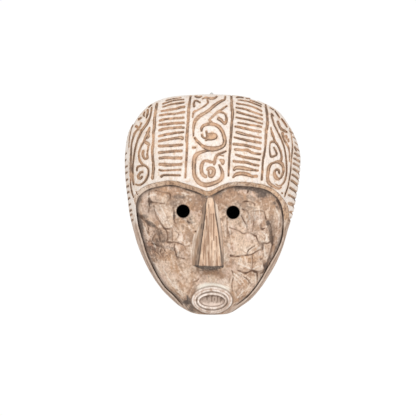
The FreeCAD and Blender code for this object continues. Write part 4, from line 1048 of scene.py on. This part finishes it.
flanks = np.where((u < 0)[:, None], left_flank, right_flank)
low_edge = 67.2 + 0.9 * rise(4.0, 0.0, np.abs(edge_gap - 3.0)) * (np.abs(u) > 1.0)
# Painted shade on the underside of the nose, which faces down.
below = rise(0.4, -1.3, z - low_edge + 0.8 * small + 0.5 * fibre) * rise(50.0, 60.0, depth)
end_grain = rise(0.0, 0.7, noise(x, y * 0.3, 0.0 * z, 1.1, 62)) * (np.abs(u) < 1.0)
nose = paint(
    nose_front,
    (flanks, rise(-0.5, 0.9, edge_gap + 0.35 * small)),
    ((94, 83, 76), 0.95 * below),
    ((206, 188, 172), 0.6 * rise(65.8, 64.4, z) * end_grain),
)
on_nose = rise(0.3, 1.6, depth - face_depth) * (z > 58) * (foot_gap < 1.5)
on_nose = on_nose * rise(161.5, 157.5, z) * (gap < -0.2)
face = paint(face, (nose, on_nose))

# ------------------------------------------------------------------ mouth's colours
lip = ellipse_gap(x, z, *LIP)
inner = ellipse_gap(x, z, *MOUTH_CUP)
hatch = noise(x, 0.0, z * 0.45, 2.2, 21)
hatch_edge = rise(15.5, 20.5, z + 4.0 * noise(x * 1.2, 0.0, z * 0.4, 1.7, 33))
hatch_lines = rise(0.0, 0.5, noise(x * 0.8, 0.0, z * 0.3, 1.6, 34))
cup = paint(
    (222, 202, 188),
    # painted shade on the upper half of the cup
    ((176, 156, 142), rise(13.5, 18.5, z + 3.0 * hatch) * 0.9),
    ((112, 92, 78), hatch_edge * hatch_lines * 0.7),
    ((110, 90, 78), band(inner, -0.9, 0.8) * (0.35 + 0.4 * rise(18.0, 12.0, z) + 0.3 * mid)),
)
groove = band(ellipse_gap(x, z, *LIP_GROOVE), 0.0, 1.0)
fine_line = band(ellipse_gap(x, z, *LIP_LINE), 0.0, 0.7)
mouth = paint(
    (238, 225, 215),
    (BROWN, 0.14 + 0.40 * small + 0.35 * tiny),
    ((104, 84, 70), 0.9 * groove * (0.85 + 0.3 * small)),
    (BROWN, 0.65 * fine_line * (0.8 + 0.5 * mid)),
    (cup, rise(0.6, -0.8, inner)),
)
# The up-facing slope above the lips: white wash with a painted highlight on top.
upper_slope_wash_and_highlight = rise(9.5, 5.0, lip + 1.5 * mid) * rise(26.0, 36.0, z)
upper_slope_wash_and_highlight = upper_slope_wash_and_highlight * rise(27.0, 17.0, np.abs(x - 3.0))
face = paint(
    face,
    ((255, 250, 238), upper_slope_wash_and_highlight * (0.95 + 0.3 * small)),
    (DARK, 0.55 * band(lip, 1.6, 1.3) * (depth > 50)),
    (mouth, rise(1.6, 0.4, lip) * (depth > 55)),
)

# ------------------------------------------------------------------ eyes and back
# Drilled eyes: a dark edge, and the bore painted near-black as painted shade.
for eye_x, eye_z in EYES:
    radius = np.hypot(x - eye_x, z - eye_z)
    face = paint(
        face,
        ((84, 68, 58), 0.8 * rise(EYE_R + 1.2, EYE_R + 0.1, radius) * (depth > 40)),
        ((30, 23, 18), rise(EYE_R + 0.3, EYE_R - 0.3, radius) * (depth > 40)),
    )

# Bare wood behind. The flat rim has few points, so its streaks are in the material.
pitted = 1.0 - rise(-2.5, -0.3, y)
raw = paint(
    RAW,
    (RAW_DARK, 0.35 + (0.4 * fibre + 0.25 * mid) * pitted),
    (SAND, 0.35 * rise(0.1, 0.9, streak + 0.4 * big) * pitted),
)
colour = np.where(in_face[:, None], face, outside)
colour = np.where(hidden[:, None], raw, colour)
# Painted shade inside the bores, seen from behind.
for eye_x, eye_z in EYES:
    bore = (np.hypot(x - eye_x, z - eye_z) < EYE_R + 0.9) & (depth < 75)
    colour = paint(colour, ((60, 46, 36), 0.6 * (bore & hidden)))

colour = np.clip(colour / 255.0, 0.0, 1.0)
linear = np.where(colour <= 0.04045, colour / 12.92, ((colour + 0.055) / 1.055) ** 2.4)
rgba = np.hstack([linear, np.ones((len(x), 1))]).astype(np.float32)
tint = block.color_attributes.new("tint", "FLOAT_COLOR", "POINT")
tint.data.foreach_set("color", rgba.ravel())
in_cut = np.where(in_face, 0.0, rise(-0.3, 0.6, cut))
for name, values in (("raw", hidden), ("cut", in_cut)):
    attribute = block.attributes.new(name, "FLOAT", "POINT")
    attribute.data.foreach_set("value", values.astype(np.float32))


# ------------------------------------------------------------------ materials
class Nodes:
    """A material with short ways to add and join nodes."""

    def __init__(self, name):
        self.material = bpy.data.materials.new(name)
        self.material.use_nodes = True
        self.tree = self.material.node_tree
        self.shader = self.tree.nodes["Principled BSDF"]

    def add(self, kind, **values):
        node = self.tree.nodes.new(kind)
        for key, value in values.items():
            setattr(node, key, value)
        return node

    def join(self, output, socket):
        self.tree.links.new(output, socket)

    def drive(self, name, output):
        self.join(output, self.shader.inputs[name])

    def maths(self, operation, first, second):
        node = self.add("ShaderNodeMath", operation=operation)
        for socket, value in zip(node.inputs, (first, second)):
            if hasattr(value, "default_value"):
                self.join(value, socket)
            else:
                socket.default_value = value
        return node.outputs[0]

    def attribute(self, name):
        return self.add("ShaderNodeAttribute", attribute_name=name).outputs

    def texture(self, scale, detail, stretch=(1, 1, 1), rough=0.6, turn=(0, 0, 0)):
        where = self.add("ShaderNodeTexCoord")
        spread = self.add("ShaderNodeMapping")
        spread.inputs["Scale"].default_value = stretch
        spread.inputs["Rotation"].default_value = turn
        self.join(where.outputs["Object"], spread.inputs["Vector"])
        node = self.add("ShaderNodeTexNoise")
        node.inputs["Scale"].default_value = scale
        node.inputs["Detail"].default_value = detail
        node.inputs["Roughness"].default_value = rough
        self.join(spread.outputs[0], node.inputs["Vector"])
        return node.outputs[0]

    def span(self, value, low, high):
        node = self.add("ShaderNodeMapRange")
        node.inputs["To Min"].default_value = low
        node.inputs["To Max"].default_value = high
        self.join(value, node.inputs["Value"])
        return node.outputs[0]

    def two_tone(self, low, high):
        """Colour ramp between two linear tones, driving the base colour."""
        node = self.add("ShaderNodeValToRGB")
        for element, tone in zip(node.color_ramp.elements, (low, high)):
            element.color = (*tone, 1)
        self.drive("Base Color", node.outputs[0])
        return node

    def bump(self, height, strength, distance):
        node = self.add("ShaderNodeBump")
        node.inputs["Strength"].default_value = strength
        node.inputs["Distance"].default_value = distance
        self.join(height, node.inputs["Height"])
        self.drive("Normal", node.outputs[0])

    def see_through(self):
        """Mixes in transparency and gives back the socket for its share."""
        clear = self.add("ShaderNodeBsdfTransparent")
        mix = self.add("ShaderNodeMixShader")
        self.join(self.shader.outputs[0], mix.inputs[1])
        self.join(clear.outputs[0], mix.inputs[2])
        self.join(mix.outputs[0], self.tree.nodes["Material Output"].inputs["Surface"])
        return mix.inputs[0]


def wood_material():
    """The point colours, broken up by grain; streaks on bare wood, rougher relief in cuts."""
    wood = Nodes("washed_carved_wood")
    base = wood.attribute("tint")["Color"]
    bare = wood.attribute("raw")["Fac"]
    dug = wood.attribute("cut")["Fac"]
    grain = wood.texture(scale=620, detail=4, stretch=(1, 1, 0.12), rough=0.65, turn=(0, 0.10, 0))
    pores = wood.texture(scale=1500, detail=3, stretch=(1, 1, 0.35), rough=0.7)
    chalk = wood.texture(scale=420, detail=6, stretch=(1, 1, 0.8), rough=0.75)
    grain_shade = wood.span(grain, low=0.76, high=1.24)
    shade = wood.maths("MULTIPLY", grain_shade, wood.span(pores, low=0.78, high=1.22))
    shade = wood.maths("MULTIPLY", shade, wood.span(chalk, low=0.74, high=1.26))
    streaks = wood.texture(scale=75, detail=3, stretch=(1, 1, 0.07), rough=0.55)
    streaks = wood.maths("MULTIPLY", bare, wood.span(streaks, low=-0.24, high=0.24))
    shade = wood.maths("MULTIPLY", shade, wood.maths("ADD", streaks, 1.0))
    tinted = wood.add("ShaderNodeVectorMath", operation="SCALE")
    wood.join(base, tinted.inputs[0])
    wood.join(shade, tinted.inputs["Scale"])
    wood.drive("Base Color", tinted.outputs[0])
    chalk_rough = wood.span(chalk, low=0.66, high=0.92)
    wood.drive("Roughness", wood.maths("ADD", chalk_rough, wood.maths("MULTIPLY", bare, 0.04)))
    wood.shader.inputs["Specular IOR Level"].default_value = 0.22
    grain_part = wood.maths("MULTIPLY", grain, 0.55)
    height = wood.maths("ADD", grain_part, wood.maths("MULTIPLY", pores, 0.25))
    height = wood.maths("ADD", height, wood.maths("MULTIPLY", chalk, 0.6))
    gain = wood.maths("ADD", wood.maths("MULTIPLY", dug, 0.6), 0.8)
    wood.bump(wood.maths("MULTIPLY", height, gain), strength=0.75, distance=0.0006)
    return wood.material


def steel_material():
    steel = Nodes("plated_steel")
    scratch = steel.texture(scale=900, detail=3, stretch=(1, 0.15, 1))
    cloud = steel.texture(scale=160, detail=4)
    metal = steel.two_tone(low=(0.36, 0.34, 0.31), high=(0.66, 0.65, 0.63))
    for element, position in zip(metal.color_ramp.elements, (0.30, 0.68)):
        element.position = position
    steel.join(cloud, metal.inputs[0])
    steel.shader.inputs["Metallic"].default_value = 0.92
    steel.drive("Roughness", steel.span(scratch, low=0.28, high=0.55))
    steel.bump(scratch, strength=0.35, distance=0.0001)
    return steel.material


def floor_material():
    """Pale floor, clear from below."""
    pale = Nodes("pale_floor")
    pale.shader.inputs["Roughness"].default_value = 0.85
    soft = pale.two_tone(low=(0.80, 0.79, 0.78), high=(0.86, 0.85, 0.84))
    pale.join(pale.texture(scale=3.0, detail=3), soft.inputs[0])
    share = pale.see_through()
    pale.join(pale.add("ShaderNodeNewGeometry").outputs["Backfacing"], share)
    return pale.material


def shadow_material():
    """Near-black wall, painted shade for the wall in the hollow; clear from behind and to rays that
    already passed a clear face.
    """
    shadow = Nodes("wall_in_shadow")
    shadow.shader.inputs["Roughness"].default_value = 0.9
    dim = shadow.two_tone(low=(0.010, 0.008, 0.007), high=(0.022, 0.018, 0.015))
    shadow.join(shadow.texture(scale=60.0, detail=3), dim.inputs[0])
    share = shadow.see_through()
    rays = shadow.add("ShaderNodeLightPath")
    facing = shadow.add("ShaderNodeNewGeometry")
    passed = shadow.maths("GREATER_THAN", rays.outputs["Transparent Depth"], 0.5)
    shadow.join(shadow.maths("MAXIMUM", facing.outputs["Backfacing"], passed), share)
    return shadow.material


block.materials.clear()
block.materials.append(wood_material())
steel = steel_material()

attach(mask, "mask")
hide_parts("mask_body")
for name in ("hanger_strap", "hanger_ring", "hanger_screw_upper", "hanger_screw_lower"):
    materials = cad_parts[name].data.materials
    materials.clear()
    materials.append(steel)


# ------------------------------------------------------------------ stage
def sheet_object(name, corners):
    """An object of one flat face."""
    mesh = bpy.data.meshes.new(name)
    mesh.from_pydata(corners, [], [tuple(range(len(corners)))])
    obj = bpy.data.objects.new(name, mesh)
    bpy.context.scene.collection.objects.link(obj)
    return obj


FLOOR_HALF, FLOOR_Z = 1.6, -0.62  # metres
floor = sheet_object(
    "floor",
    [(a * FLOOR_HALF, b * FLOOR_HALF, FLOOR_Z) for a, b in ((-1, -1), (1, -1), (1, 1), (-1, 1))],
)
floor.data.materials.append(floor_material())

# The patch of wall that closes the hollow of the hung mask, near-black as painted shade. From the
# front it blocks the light, so that the eye holes are dark; from behind it is clear, so that the
# back shows.
PATCH_LAP = 3.0
PATCH_Y = 0.0006  # metres, just behind the mask
edge = [(-row[1] - PATCH_LAP, row[0]) for row in HOLLOW]
edge += [(row[2] + PATCH_LAP, row[0]) for row in reversed(HOLLOW)]
lap_at = {HOLLOW_LOW: -PATCH_LAP, HOLLOW_HIGH: PATCH_LAP}
wall = sheet_object(
    "wall_patch",
    [(px * MM, PATCH_Y, (pz + lap_at.get(pz, 0.0) - HANG) * MM) for px, pz in edge],
)
wall.data.update()
wall.data.flip_normals()  # the outline runs clockwise seen from the front
wall.data.materials.append(shadow_material())

# World: even light from all round, with a brighter white for the camera.
AMBIENT, BACKDROP = 0.76, 1.02
world = bpy.data.worlds.new("studio")
world.use_nodes = True
bpy.context.scene.world = world
tree = world.node_tree
ambient = tree.nodes["Background"]
backdrop = tree.nodes.new("ShaderNodeBackground")
for node, strength in ((ambient, AMBIENT), (backdrop, BACKDROP)):
    node.inputs["Color"].default_value = (1, 1, 1, 1)
    node.inputs["Strength"].default_value = strength
path = tree.nodes.new("ShaderNodeLightPath")
blend = tree.nodes.new("ShaderNodeMixShader")
tree.links.new(path.outputs["Is Camera Ray"], blend.inputs[0])
tree.links.new(ambient.outputs[0], blend.inputs[1])
tree.links.new(backdrop.outputs[0], blend.inputs[2])
tree.links.new(blend.outputs[0], tree.nodes["World Output"].inputs["Surface"])


def lamp(name, watts, width, place, aim=(0.0, -0.04, -0.15)):
    data = bpy.data.lights.new(name, "AREA")
    data.energy = watts
    data.shape = "DISK"
    data.size = width
    obj = bpy.data.objects.new(name, data)
    obj.location = place
    obj.rotation_mode = "QUATERNION"
    obj.rotation_quaternion = (Vector(aim) - Vector(place)).to_track_quat("-Z", "Y")
    bpy.context.scene.collection.objects.link(obj)


lamp("key", watts=13.0, width=1.0, place=(-0.7, -1.7, 1.0))
lamp("fill", watts=10.0, width=1.2, place=(1.1, -1.7, 0.3))

# Camera straight in front, level with a point 144.5 mm above the chin.
camera = bpy.data.objects.new("camera", bpy.data.cameras.new("camera"))
bpy.context.scene.collection.objects.link(camera)
camera.data.sensor_width = 36.0
camera.data.lens = 316.0
camera.location = (-0.0048, -5.0, 0.1445 - HANG * MM)
camera.rotation_euler = (np.pi / 2, 0.0, 0.0)
camera.data.clip_start = 0.1
camera.data.clip_end = 50.0
bpy.context.scene.camera = camera
bpy.context.scene.view_settings.view_transform = "Standard"
